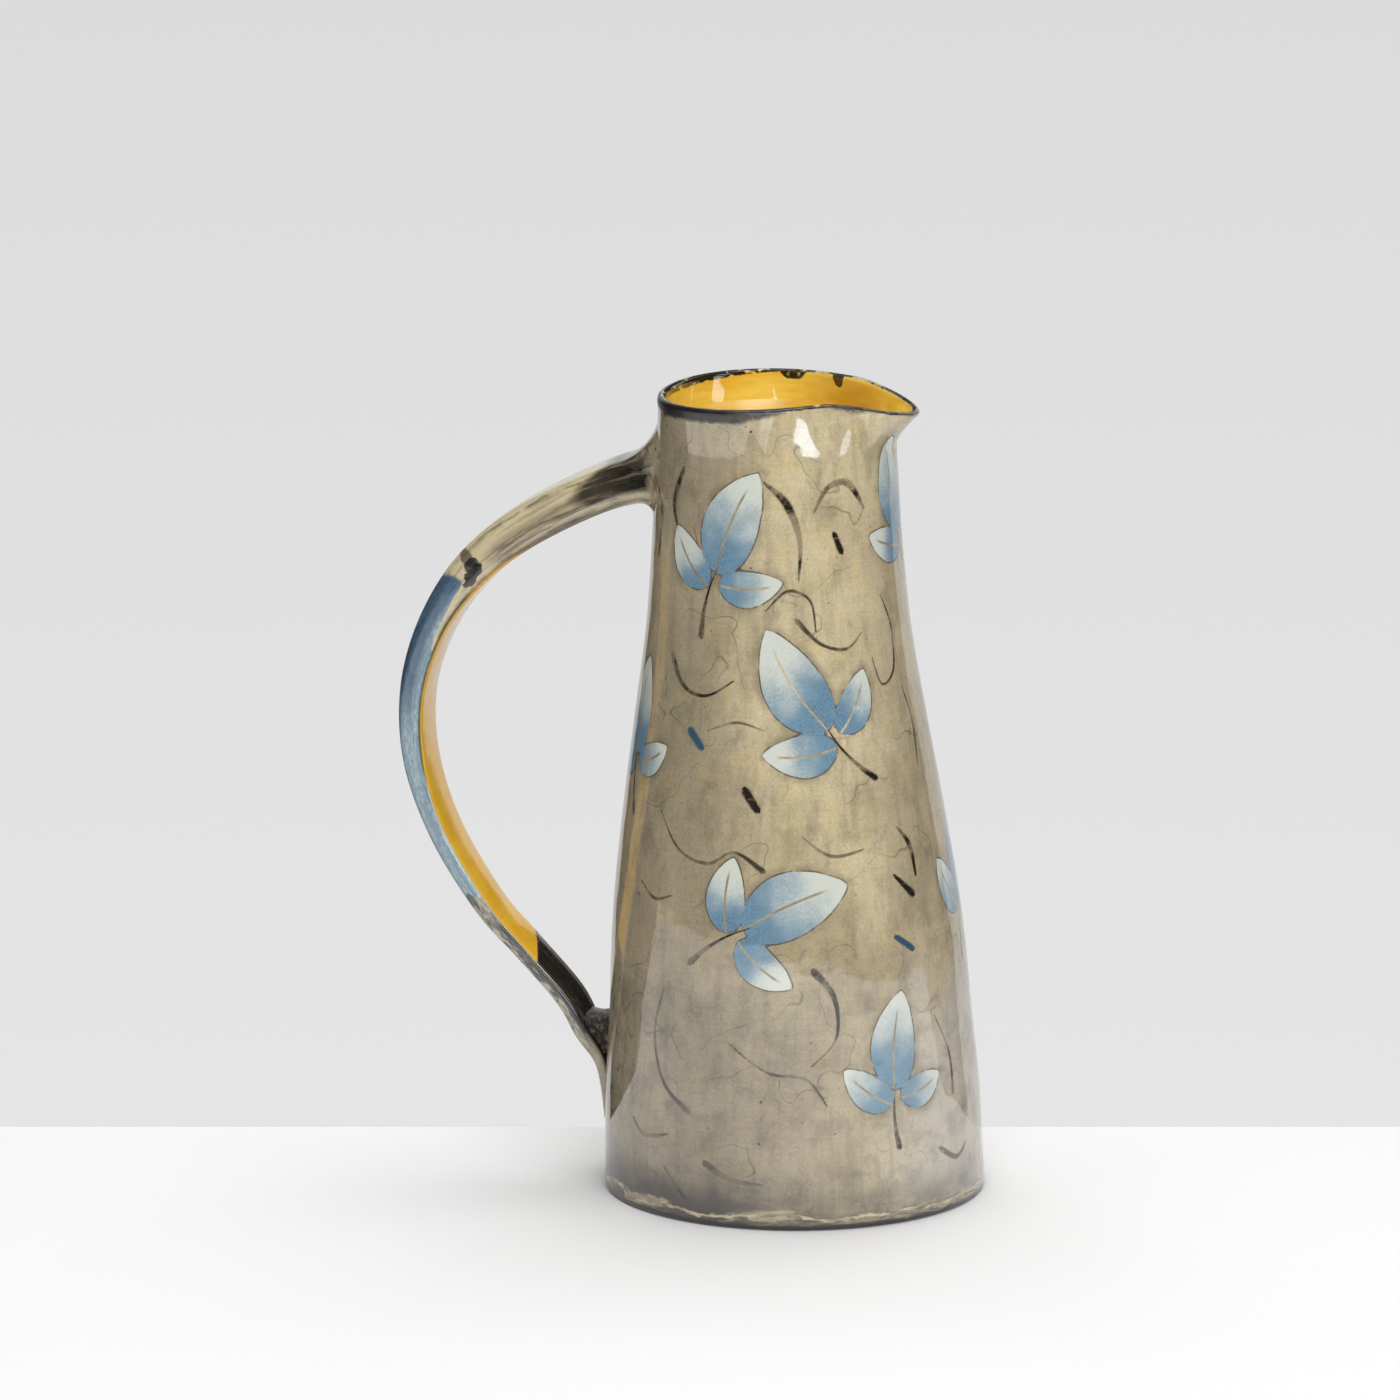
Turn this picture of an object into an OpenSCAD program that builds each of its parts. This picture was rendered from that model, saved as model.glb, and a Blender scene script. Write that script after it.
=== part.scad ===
// A handmade stoneware jug with a pulled lip, a leaning neck and a strap handle.
// Millimetres, +Z up, the middle of the foot at the origin, the lip toward +X.

/* [Body] */
// Height from the table to the rim
height = 244.5; // [200:0.5:290]
// Outside radius at the foot
foot_r = 57.5; // [52:0.5:64]
// Outside radius of the round part of the rim
rim_r = 35; // [31:0.5:42]
// How far the rim stands off toward the handle
lean = 6; // [0:0.5:10]
// How much lower the rim is at the handle than at the lip
rim_fall = 1.5; // [0:0.5:4]
// Wall thickness just above the base
wall_low_t = 4.5; // [3.5:0.1:6]
// Wall thickness at the rim
wall_top_t = 2.6; // [2:0.1:3.6]

/* [Base] */
// Thickness of the base slab
base_t = 7; // [5:0.5:10]
// Rounding of the base's lower edge
base_edge_r = 1.5; // [1:0.5:4]
// Size of the clay coil smoothed into the inside corner
coil_r = 8; // [5:0.5:12]

/* [Lip] */
// How far the lip's tip stands out past the round rim
lip_reach = 9; // [4:0.5:12]
// Height below the rim where the lip starts to turn out
lip_rise = 16.5; // [10:0.5:20]
// How far the tip dips below the rim
lip_dip = 6; // [0:0.5:8]
// Width of the cut in the wall that takes the lip piece
lip_cut_w = 46; // [36:1:54]
// Depth of that cut below the rim
lip_cut_h = 24; // [22:1:34]

/* [Handle] */
// Drop from the rim to the strap's middle where it leaves the wall
handle_drop = 27.5; // [24:0.5:40]
// Height of the strap's middle where it comes down to the wall
handle_low_z = 47.5; // [40:0.5:60]
// How far the strap bows out from the wall
handle_reach = 68; // [50:1:80]
// Width of the strap along its upper part
strap_w = 25; // [18:0.5:32]
// Width of the strap where it is pressed on at the bottom
strap_low_w = 20; // [14:0.5:28]
// Thickness of the strap at its upper root
strap_root_t = 15; // [9:0.5:17]
// Thickness of the strap along its lower part
strap_t = 5; // [4:0.25:7]

/* [Handle joints] */
// Radius of the clay smoothed over the top of the upper root
top_fillet = 11; // [7:0.5:13]
// Radius of the clay smoothed under and beside the upper root
low_fillet = 5; // [3:0.5:7]
// Height of the clay web pressed into the lower corner
web_h = 26; // [20:1:30]
// Height of the web's top above the place where the strap comes down
web_rise = 3; // [1:0.5:6]
// Width of the web
web_w = 17; // [10:0.5:18]
// Radius of the finger mark across the top of the web
web_mark_r = 5; // [4:0.5:8]

/* [Glaze] */
// Thickness of the glaze lining inside
liner_t = 0.5; // [0.4:0.1:1]

/* [Hidden] */

// Overrun of cuts past the faces they leave
overrun = 1;
// Thickness to which the smoothed clay thins out on the wall
fillet_edge = 0.2;
// Small steps used to measure the direction of the rim's outline, in degrees, and of the strap
turn_step = 0.5;
place_step = 0.01;

// Outside radius above the base: 1 is the foot and 0 the rim, at every tenth of the wall's height
FLARE_SHARES = [1, 0.97, 0.89, 0.82, 0.7, 0.54, 0.37, 0.21, 0.12, 0.06, 0];
// Push of the rim outward, of lip_reach, at twelfths of the half circle from the tip to the handle
PUSH_SHARES = [1, 0.52, -0.04, -0.32, -0.26, -0.02, 0.26, 0.44, 0.46, 0.36, 0.2, 0.04, 0];
// Rounding of the lip's tip, as an angle round the pot
tip_round = 7;
// Quickness of the lip's turn outward, and of the wall's lean, as powers
lip_power = 1.2;
lean_power = 1.3;
// Half the angle round the tip over which the rim dips
dip_angle = 53;
// Strap's middle line: bow of handle_reach, then drop from the upper place to the lower one
BOW_SHARES = [
    [-0.3, -0.02],
    [0, 0],
    [0.24, 0.03],
    [0.56, 0.1],
    [0.78, 0.18],
    [0.928, 0.28],
    [0.997, 0.4],
    [0.965, 0.53],
    [0.83, 0.66],
    [0.603, 0.79],
    [0.408, 0.87],
    [0.2, 0.955],
    [0.1, 1.015],
    [0.015, 1.06],
    [-0.025, 1.11],
    [-0.05, 1.165]
];
// Strap thickness at those points: 1 is the upper root's and 0 the lower part's
THICK_SHARES = [1.1, 1, 0.86, 0.83, 0.76, 0.5, 0.33, 0.27, 0.12, 0.06, 0.03, 0.02, 0, -0.05, -0.12, -0.18];
// Strap width at those points: 0 is the upper width and 1 the lower
NARROW_SHARES = [0, 0, 0, 0, 0, 0.2, 0.5, 0.7, 0.75, 0.8, 0.9, 1, 1, 1, 1, 1];
// Rounding of the strap's edges, of its thickness
edge_share = 0.3;

// How far short of the strap's line the smoothed clay of the upper root ends, of a quarter turn
fillet_end_share = 0.11;

// Counts of faces: round the pot, up the wall, up the lip, over the rim, round the coil
COLUMNS = 80;
LOW_ROWS = 13;
LIP_ROWS = 6;
RIM_STEPS = 4;
COIL_STEPS = 4;
// Rings along the strap between two of its points, and faces round each of its edges
RINGS = 3;
EDGE_STEPS = 3;
// Rings of the upper root's smoothed clay, stretches of its flat sides, points down the web's side
FILLET_STEPS = 5;
FLAT_STEPS = 4;
WEB_STEPS = 6;
// How much closer the columns stand at the lip than on the average, in degrees
gather = 24;

rim_round = wall_top_t / 2;
wall_h = height - base_t;
lip_start_z = height - lip_rise;
handle_top_z = height - handle_drop;
last_station = len(BOW_SHARES) - 1;

function within(s) = min(1, max(0, s));
function ease(s) = within(s) * within(s) * (3 - 2 * within(s));

// Smooth curve through a list of numbers or points; place counts list steps from the first
function curve_at(list, place) =
    let(
        i = min(len(list) - 2, max(0, floor(place))),
        f = min(1, place - i),
        before = list[max(0, i - 1)],
        from = list[i],
        to = list[i + 1],
        after = list[min(len(list) - 1, i + 2)],
        slope_from = (to - before) / 2,
        slope_to = (after - from) / 2,
        rise = to - from
    )
    from + f * slope_from + f * f * (3 * rise - 2 * slope_from - slope_to)
        + f * f * f * (slope_from + slope_to - 2 * rise);

function wall_share(z) = within((z - base_t) / wall_h);
function axis_x(z) = -lean * pow(sin(90 * wall_share(z)), lean_power);
function round_r(z) =
    rim_r + (foot_r - rim_r) * curve_at(FLARE_SHARES, (len(FLARE_SHARES) - 1) * wall_share(z));
function wall_t(z) = wall_low_t + (wall_top_t - wall_low_t) * wall_share(z);

// Angle from the lip's tip, between -180 and 180 degrees
function from_tip(turn) = turn > 180 ? turn - 360 : turn;
function past_tip(turn) = norm([from_tip(turn), tip_round]) - tip_round;
function push_share(turn) =
    curve_at(PUSH_SHARES, (len(PUSH_SHARES) - 1) * past_tip(turn) / past_tip(180));
// Share of the push that is reached at a height: none below the lip, all at the rim
function push_rise(z) = pow(within((z - lip_start_z) / lip_rise), lip_power);
// Drop of the rim below its highest place, at the tip and toward the handle
function rim_drop(turn) =
    lip_dip * ease(1 - abs(from_tip(turn)) / dip_angle) + rim_fall * (1 - cos(turn)) / 2;

// Outside of the pot in plan, at a turn from the tip and a height
function plan_point(turn, z) =
    let(r = round_r(z) + lip_reach * push_share(turn) * push_rise(z))
    [axis_x(z) + r * cos(turn), r * sin(turn)];

// Point a depth inside the outer skin, measured square to the outline in plan
function skin_point(turn, z, depth, lift = 0) =
    let(
        at = plan_point(turn, z),
        along = plan_point(turn + turn_step, z) - plan_point(turn - turn_step, z),
        inward = [-along.y, along.x] / norm(along),
        place = at + depth * inward
    )
    [place.x, place.y, z + lift - rim_drop(turn) * push_rise(z)];

function column_turn(j) = 360 * j / COLUMNS - gather * sin(360 * j / COLUMNS);
function skin_row(z, depth, lift = 0) =
    [for (j = [0:COLUMNS - 1]) skin_point(column_turn(j), z, depth, lift)];

// Heights of the rows of faces, from the top of the base to the start of the rim's rounding
ROW_HEIGHTS = concat(
    [base_t],
    [for (i = [0:LOW_ROWS]) base_t + coil_r + (lip_start_z - base_t - coil_r) * i / LOW_ROWS],
    [for (i = [1:LIP_ROWS]) lip_start_z + (lip_rise - rim_round) * i / LIP_ROWS]
);
LAST_ROW = len(ROW_HEIGHTS) - 1;
rim_z = ROW_HEIGHTS[LAST_ROW];

// Two faces between point j of row a and the next point of row b. The shared edge always runs
// from the lower row's point j, so that surfaces that touch are divided alike.
function two_faces(a, b, j, next, rising) =
    rising
        ? [[a + j, b + next, b + j], [a + j, a + next, b + next]]
        : [[a + j, a + next, b + j], [a + next, b + next, b + j]];

// Faces between rows of points that each go round once, for the given number of steps
function row_faces(rows, steps) = [
    for (i = [0:steps - 1], j = [0:len(rows[0]) - 1])
        let(
            n = len(rows[0]),
            over = (i + 1) % len(rows),
            rising = rows[over][j].z > rows[i][j].z
        )
        each two_faces(i * n, over * n, j, (j + 1) % n, rising)
];

// Solid between rows of points; the last row joins the first
module ring_of_rows(rows) {
    polyhedron(points = [for (row = rows) each row], faces = row_faces(rows, len(rows)));
}

// Solid between rows of points; the end rows are closed flat
module stack_of_rows(rows) {
    n = len(rows[0]);
    last = (len(rows) - 1) * n;
    start_cap = [for (j = [0:n - 1]) n - 1 - j];
    end_cap = [for (j = [0:n - 1]) last + j];
    polyhedron(
        points = [for (row = rows) each row],
        faces = concat(row_faces(rows, len(rows) - 1), [start_cap, end_cap])
    );
}

// The pot's wall and lip as one shell, before the lip is cut out of it
module pot_shell() {
    ring_of_rows(concat(
        [for (z = ROW_HEIGHTS) skin_row(z, wall_t(z))],
        [
            for (k = [1:RIM_STEPS - 1])
                let(a = 180 * k / RIM_STEPS)
                skin_row(rim_z, wall_t(rim_z) * (1 + cos(a)) / 2, rim_round * sin(a))
        ],
        [for (i = [0:LAST_ROW]) skin_row(ROW_HEIGHTS[LAST_ROW - i], 0)]
    ));
}

// Everything inside the pot's outer skin, which the handle is cut back to
module pot_outline() {
    stack_of_rows([for (i = [0:LAST_ROW]) skin_row(ROW_HEIGHTS[LAST_ROW - i], 0)]);
}

// The wedge cut out of the wall, with its point down, that the lip fills
module lip_wedge() {
    half = lip_cut_w / 2;
    top = height + overrun;
    tall = lip_cut_h + overrun;
    rotate([90, 0, 90])
        linear_extrude(foot_r)
            polygon([[0, top - tall], [half * tall / lip_cut_h, top], [-half * tall / lip_cut_h, top]]);
}

function strap_x(bow, drop) =
    let(
        top = axis_x(handle_top_z) - round_r(handle_top_z),
        low = axis_x(handle_low_z) - round_r(handle_low_z)
    )
    top + (low - top) * drop - handle_reach * bow;
STRAP_POINTS = [
    for (s = BOW_SHARES)
        [strap_x(s[0], s[1]), handle_top_z + (handle_low_z - handle_top_z) * s[1]]
];
function strap_thick(place) = strap_t + (strap_root_t - strap_t) * curve_at(THICK_SHARES, place);
function strap_wide(place) = strap_w + (strap_low_w - strap_w) * curve_at(NARROW_SHARES, place);
function strap_along(place) =
    let(
        to = curve_at(STRAP_POINTS, place + place_step),
        from = curve_at(STRAP_POINTS, place - place_step)
    )
    (to - from) / norm(to - from);

// Points round a rounded rectangle, as [middle of rounding, direction out of it]; each flat side
// is cut into the given number of stretches
function outline_corner(corner, half_w, half_t) =
    [corner % 4 == 0 || corner % 4 == 3 ? half_w : -half_w, corner % 4 < 2 ? half_t : -half_t];
function rounded_outline(half_w, half_t, stretches) = [
    for (corner = [0:3], k = [0:EDGE_STEPS + stretches - 1])
        let(
            a = 90 * (corner + min(k, EDGE_STEPS) / EDGE_STEPS),
            from = outline_corner(corner, half_w, half_t),
            to = outline_corner(corner + 1, half_w, half_t)
        )
        [from + (to - from) * max(0, k - EDGE_STEPS) / stretches, [cos(a), sin(a)]]
];

// Ring round the strap, square to its middle line
function strap_ring(place) =
    let(
        at = curve_at(STRAP_POINTS, place),
        along = strap_along(place),
        edge_r = edge_share * strap_thick(place),
        half_w = strap_wide(place) / 2 - edge_r,
        half_t = strap_thick(place) / 2 - edge_r
    )
    [
        for (spot = rounded_outline(half_w, half_t, 1))
            let(across = spot[0] + edge_r * spot[1])
            [at.x + along.y * across.y, across.x, at.y - along.x * across.y]
    ];

module strap_sweep() {
    stack_of_rows([for (i = [0:RINGS * last_station]) strap_ring(i / RINGS)]);
}

// Middle line's place, in steps along its list, at a height
function strap_place(z) = lookup(z, [for (i = [last_station:-1:1]) [STRAP_POINTS[i].y, i]]);
// Fall of the strap's middle line for each length that it runs out from the wall
root_fall = (STRAP_POINTS[1].y - STRAP_POINTS[2].y) / (STRAP_POINTS[1].x - STRAP_POINTS[2].x);

// Outside of the wall on the handle's side, at a distance across and a height
function back_x(y, z) = axis_x(z) - sqrt(pow(round_r(z), 2) - y * y);

// Ring of smoothed clay at the upper root: at 90 degrees it lies on the wall, at 0 on the strap
function fillet_ring(angle, stand) =
    let(
        edge_r = edge_share * strap_root_t,
        half_w = strap_w / 2 - edge_r,
        half_t = strap_root_t / 2 - edge_r
    )
    [
        for (spot = rounded_outline(half_w, half_t, FLAT_STEPS))
            let(
                r = low_fillet + (top_fillet - low_fillet) * max(0, spot[1].y),
                out = r * (1 - sin(angle)) + stand,
                across = spot[0] + (edge_r + r * (1 - cos(angle))) * spot[1],
                z = handle_top_z - root_fall * out + across.y
            )
            [back_x(across.x, z) - out, across.x, z]
    ];

module wall() {
    color("tan")
        difference() {
            pot_shell();
            lip_wedge();
        }
}

module lip_spout() {
    color("burlywood")
        intersection() {
            pot_shell();
            lip_wedge();
        }
}

module handle_strap() {
    color("steelblue")
        difference() {
            strap_sweep();
            pot_outline();
        }
}

module base() {
    color("dimgray")
        rotate_extrude($fn = COLUMNS) {
            square([foot_r - base_edge_r, base_t]);
            translate([0, base_edge_r])
                square([foot_r, base_t - base_edge_r]);
            translate([foot_r - base_edge_r, base_edge_r])
                circle(base_edge_r);
        }
}

// Row round the coil's hollow face, or round the glaze that covers it
function coil_row(angle, cover = 0) =
    let(z = base_t + coil_r - (coil_r - cover) * cos(angle))
    skin_row(z, wall_t(z) + coil_r - (coil_r - cover) * sin(angle));

module base_coil() {
    color("sienna")
        ring_of_rows(concat(
            [for (k = [0:COIL_STEPS]) coil_row(90 * k / COIL_STEPS)],
            [skin_row(base_t, wall_t(base_t))]
        ));
}

module handle_top_joint() {
    color("cadetblue")
        difference() {
            stack_of_rows(concat(
                [fillet_ring(90, -overrun)],
                [
                    for (k = [0:FILLET_STEPS])
                        fillet_ring(90 * (1 - (1 - fillet_end_share) * k / FILLET_STEPS), fillet_edge)
                ]
            ));
            strap_sweep();
            pot_outline();
        }
}

module handle_bottom_joint() {
    top = handle_low_z + web_rise;
    foot = top - web_h;
    mark_x = (back_x(0, top) + curve_at(STRAP_POINTS, strap_place(top)).x + strap_t / 2) / 2;
    color("saddlebrown")
        difference() {
            translate([0, web_w / 2, 0])
                rotate([90, 0, 0])
                    linear_extrude(web_w)
                        polygon(concat(
                            [
                                for (k = [0:WEB_STEPS])
                                    curve_at(STRAP_POINTS, strap_place(top - web_h * k / WEB_STEPS))
                            ],
                            [
                                [back_x(web_w / 2, foot) + overrun, foot],
                                [back_x(web_w / 2, top) + overrun, top]
                            ]
                        ));
            translate([mark_x, 0, top + web_mark_r / 2])
                rotate([90, 0, 0])
                    cylinder(h = web_w + 2 * overrun, r = web_mark_r, center = true, $fn = 32);
            strap_sweep();
            pot_outline();
        }
}

module liner_glaze() {
    color("gold")
        stack_of_rows(concat(
            [for (k = [0:COIL_STEPS - 1]) coil_row(90 * k / COIL_STEPS, liner_t)],
            [for (i = [1:LAST_ROW]) skin_row(ROW_HEIGHTS[i], wall_t(ROW_HEIGHTS[i]) + liner_t)],
            [for (i = [LAST_ROW:-1:1]) skin_row(ROW_HEIGHTS[i], wall_t(ROW_HEIGHTS[i]))],
            [for (k = [COIL_STEPS - 1:-1:0]) coil_row(90 * k / COIL_STEPS)]
        ));
}

wall();
base();
base_coil();
lip_spout();
handle_strap();
handle_top_joint();
handle_bottom_joint();
liner_glaze();
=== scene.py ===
"""A handmade stoneware jug with a painted khaki glaze, a yellow lining and a brushed strap handle.

Lengths are in millimetres until a mesh is written, which turns them into metres. A turn is an
angle in degrees round the pot from the lip's tip, and the handle stands at 180.
"""

import bpy
import numpy as np
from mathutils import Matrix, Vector


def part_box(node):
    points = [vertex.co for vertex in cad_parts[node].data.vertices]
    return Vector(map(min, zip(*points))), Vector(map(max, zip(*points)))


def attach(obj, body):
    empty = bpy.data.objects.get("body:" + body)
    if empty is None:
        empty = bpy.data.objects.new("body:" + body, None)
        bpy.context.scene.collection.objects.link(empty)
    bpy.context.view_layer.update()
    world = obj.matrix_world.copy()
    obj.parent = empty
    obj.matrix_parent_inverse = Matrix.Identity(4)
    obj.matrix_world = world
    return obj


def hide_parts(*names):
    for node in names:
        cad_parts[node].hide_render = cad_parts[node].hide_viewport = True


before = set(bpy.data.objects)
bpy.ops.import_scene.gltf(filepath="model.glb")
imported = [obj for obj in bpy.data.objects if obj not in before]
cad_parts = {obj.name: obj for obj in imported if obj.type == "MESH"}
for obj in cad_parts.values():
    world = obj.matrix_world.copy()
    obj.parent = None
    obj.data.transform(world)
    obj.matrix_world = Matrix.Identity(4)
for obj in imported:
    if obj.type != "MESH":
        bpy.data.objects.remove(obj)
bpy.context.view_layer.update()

MM = 0.001
# Sizes that the frame gives
FOOT_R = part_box("base")[1].x / MM
BASE_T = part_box("base")[1].z / MM

# Pot
RIM_R, LEAN, WALL_LOW_T, WALL_TOP_T = 35, 6, 4.5, 2.6
BASE_EDGE_R, COIL_R, LINER_T = 1.5, 8, 0.5
HEIGHT, RIM_FALL, DIP_ANGLE, TIP_ROUND = 244.5, 1.5, 53, 7
LIP_REACH, LIP_RISE, LIP_DIP = 9, 16.5, 6
LIP_POWER, LEAN_POWER = 1.2, 1.3
FLARE_SHARES = np.array([1, 0.97, 0.89, 0.82, 0.7, 0.54, 0.37, 0.21, 0.12, 0.06, 0])
PUSH_SHARES = np.array([1, 0.52, -0.04, -0.32, -0.26, -0.02, 0.26, 0.44, 0.46, 0.36, 0.2, 0.04, 0])

# Handle: bow and drop of the strap's middle line, its thickness and its narrowing, as shares
HANDLE_DROP, HANDLE_LOW_Z, HANDLE_REACH = 27.5, 47.5, 68
STRAP_W, STRAP_LOW_W, STRAP_ROOT_T, STRAP_T = 25, 20, 15, 5
BOW_SHARES = np.array([
    (-0.3, -0.02), (0, 0), (0.24, 0.03), (0.56, 0.1), (0.78, 0.18), (0.928, 0.28), (0.997, 0.4),
    (0.965, 0.53), (0.83, 0.66), (0.603, 0.79), (0.408, 0.87), (0.2, 0.955), (0.1, 1.015), (0.015, 1.06),
    (-0.025, 1.11), (-0.05, 1.165),
])
THICK_SHARES = np.array(
    [1.1, 1, 0.86, 0.83, 0.76, 0.5, 0.33, 0.27, 0.12, 0.06, 0.03, 0.02, 0, -0.05, -0.12, -0.18]
)
NARROW_SHARES = np.array([0, 0, 0, 0, 0, 0.2, 0.5, 0.7, 0.75, 0.8, 0.9, 1, 1, 1, 1, 1])
EDGE_SHARE, INNER_CROWN, OUTER_CROWN = 0.3, 0.45, 0.3
TOP_FILLET, LOW_FILLET = 11, 5
WEB_H, WEB_RISE, WEB_W = 26, 3, 17

# Unevenness of a wall shaped by hand
WAVER = 0.35

# Grid of the pot: columns round it, rows up the wall and over the rim, and the rows inside the rim that
# still belong to the wall. Rows on the flat start this share out from the axis.
COLUMNS, WALL_ROWS, RIM_STEPS, RIM_INSIDE_ROWS, FIRST_SHARE = 400, 214, 10, 9, 0.04
WALL_H = HEIGHT - BASE_T
LIP_START_Z = HEIGHT - LIP_RISE
RIM_ROUND = WALL_TOP_T / 2
RIM_Z = HEIGHT - RIM_ROUND
HANDLE_TOP_Z = HEIGHT - HANDLE_DROP


def ease(share):
    """Smooth step: 3s squared less 2s cubed, held between 0 and 1."""
    s = np.clip(share, 0, 1)
    return s * s * (3 - 2 * s)


def curve_at(values, place):
    """Smooth curve through a list of numbers or points; place counts list steps from the first."""
    place = np.asarray(place, float)
    last = len(values) - 1
    i = np.clip(np.floor(place), 0, last - 1).astype(int)
    f = np.minimum(1, place - i)
    before, start = values[np.maximum(0, i - 1)], values[i]
    end, after = values[i + 1], values[np.minimum(last, i + 2)]
    if values.ndim > 1:
        f = f[..., None]
    slope_start, slope_end, rise = (end - before) / 2, (after - start) / 2, end - start
    square = 3 * rise - 2 * slope_start - slope_end
    return start + f * slope_start + f**2 * square + f**3 * (slope_start + slope_end - 2 * rise)


# Pot's shape


def wall_share(z):
    return np.clip((z - BASE_T) / WALL_H, 0, 1)


def axis_x(z):
    return -LEAN * np.sin(np.pi / 2 * wall_share(z)) ** LEAN_POWER


def round_r(z):
    return RIM_R + (FOOT_R - RIM_R) * curve_at(FLARE_SHARES, (len(FLARE_SHARES) - 1) * wall_share(z))


def wall_t(z):
    return WALL_LOW_T + (WALL_TOP_T - WALL_LOW_T) * wall_share(z)


def from_tip(turn):
    return (np.asarray(turn) + 180) % 360 - 180


def past_tip(turn):
    return np.hypot(from_tip(turn), TIP_ROUND) - TIP_ROUND


def lip_rise_share(z):
    return np.clip((z - LIP_START_Z) / LIP_RISE, 0, 1) ** LIP_POWER


def rim_drop(turn):
    """How far the rim lies below its highest place: a dip at the tip, a fall toward the handle."""
    dip = LIP_DIP * ease(1 - np.abs(from_tip(turn)) / DIP_ANGLE)
    return dip + RIM_FALL * (1 - np.cos(np.radians(turn))) / 2


def plan_point(turn, z):
    """Outside of the pot in plan: a circle about the leaning axis, pushed out and in by the lip."""
    push = curve_at(PUSH_SHARES, (len(PUSH_SHARES) - 1) * past_tip(turn) / past_tip(180))
    r = round_r(z) + LIP_REACH * push * lip_rise_share(z)
    a = np.radians(turn)
    return np.stack([axis_x(z) + r * np.cos(a), r * np.sin(a)], -1)


def hand_waver(turn, z):
    """Slight unevenness of a wall shaped by hand, from 0 to 1: a few slow waves round and up."""
    a = np.radians(turn)
    waves = (
        np.sin(2 * a + z / 41)
        + 0.8 * np.sin(3 * a - z / 27 + 1.3)
        + 0.5 * np.sin(5 * a + z / 19 + 0.4)
        + 0.35 * np.sin(z / 7.5 + 1.5 * np.sin(a))
        + 0.25 * np.sin(9 * a - z / 33)
    )
    return 0.5 + waves / 5.8


def skin_point(turn, z, depth, lift=0.0):
    """Point a depth inside the outer skin, square to the outline in plan; lift raises it."""
    turn, z = np.broadcast_arrays(np.asarray(turn, float), np.asarray(z, float))
    half_step = 0.5
    along = plan_point(turn + half_step, z) - plan_point(turn - half_step, z)
    along /= np.linalg.norm(along, axis=-1, keepdims=True)
    inward = np.stack([-along[..., 1], along[..., 0]], -1)
    calm = ease((z - BASE_EDGE_R) / 12) * ease((HEIGHT - z) / 20)
    depth = depth + WAVER * calm * hand_waver(turn, z)
    at = plan_point(turn, z) + np.broadcast_to(depth, turn.shape)[..., None] * inward
    high = z + lift - rim_drop(turn) * lip_rise_share(z)
    return np.concatenate([at, high[..., None]], -1)


def pot_profile():
    """Rows of the pot's whole skin, from the middle of the underside, up the outside, over the rim and
    down inside to the middle of the floor: height, depth, lift, share out from the axis."""
    rows = [(0, BASE_EDGE_R, 0, s) for s in np.linspace(FIRST_SHARE, 1, 14)]
    for a in np.radians(np.linspace(90, 0, 7)[1:-1]):
        rows.append((BASE_EDGE_R * (1 - np.sin(a)), BASE_EDGE_R * (1 - np.cos(a)), 0, 1))
    rows += [(z, 0, 0, 1) for z in np.linspace(BASE_EDGE_R, BASE_T, 7)]
    base_end = len(rows) - 1
    rows += [(z, 0, 0, 1) for z in np.linspace(BASE_T, RIM_Z, WALL_ROWS + 1)[1:]]
    rim_start = len(rows) - 1
    for a in np.radians(np.linspace(0, 180, RIM_STEPS + 1)[1:]):
        rows.append((RIM_Z, RIM_ROUND * (1 - np.cos(a)), RIM_ROUND * np.sin(a), 1))
    inside = np.concatenate([RIM_Z - np.arange(0.8, 9, 0.8), np.linspace(RIM_Z - 10, BASE_T + COIL_R, 60)])
    lining_start = len(rows) + RIM_INSIDE_ROWS
    cover = LINER_T * ease((RIM_Z - inside) / 20)
    rows += [(z, wall_t(z) + c, 0, 1) for z, c in zip(inside, cover)]
    for a in np.radians(np.linspace(90, 0, 9)[1:]):
        z = BASE_T + COIL_R - (COIL_R - LINER_T) * np.cos(a)
        rows.append((z, wall_t(z) + COIL_R - (COIL_R - LINER_T) * np.sin(a), 0, 1))
    floor_z, floor_depth = rows[-1][0], rows[-1][1]
    rows += [(floor_z, floor_depth, 0, s) for s in np.linspace(1, FIRST_SHARE, 12)[1:]]
    return np.array(rows), base_end, rim_start, lining_start


def carried_round(rows, turns):
    """Points of profile rows carried round the pot; a row's last value draws it in toward the axis."""
    z, depth, lift, out = (rows[:, k, None] for k in range(4))
    points = skin_point(turns[None, :], np.broadcast_to(z, (len(rows), len(turns))), depth, lift)
    middle = np.concatenate([axis_x(z), 0 * z], -1)[:, None, :]
    points[..., :2] = middle + out[..., None] * (points[..., :2] - middle)
    return points


# Meshes


def grid_normals(points):
    """Normals of a grid whose columns go once round: the cross product of its two steps."""
    round_step = np.roll(points, -1, 1) - np.roll(points, 1, 1)
    row_step = np.gradient(points, axis=0)
    normal = np.cross(round_step, row_step)
    return normal / np.maximum(np.linalg.norm(normal, axis=-1, keepdims=True), 1e-12)


def grid_faces(row_count, column_count, ring=False):
    """Quads between rows that each go once round; in a ring the last row joins the first."""
    steps = row_count if ring else row_count - 1
    i, j = np.meshgrid(np.arange(steps), np.arange(column_count), indexing="ij")
    over, beside = (i + 1) % row_count, (j + 1) % column_count
    n = column_count
    return np.stack([i * n + j, i * n + beside, over * n + beside, over * n + j], -1).reshape(-1, 4)


def cap_faces(row, column_count, pole, turned):
    """Triangles between a row and a pole point."""
    j = np.arange(column_count)
    a, b = row * column_count + j, row * column_count + (j + 1) % column_count
    corners = (a, b) if turned else (b, a)
    return np.stack([*corners, np.full(column_count, pole)], -1)


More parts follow.
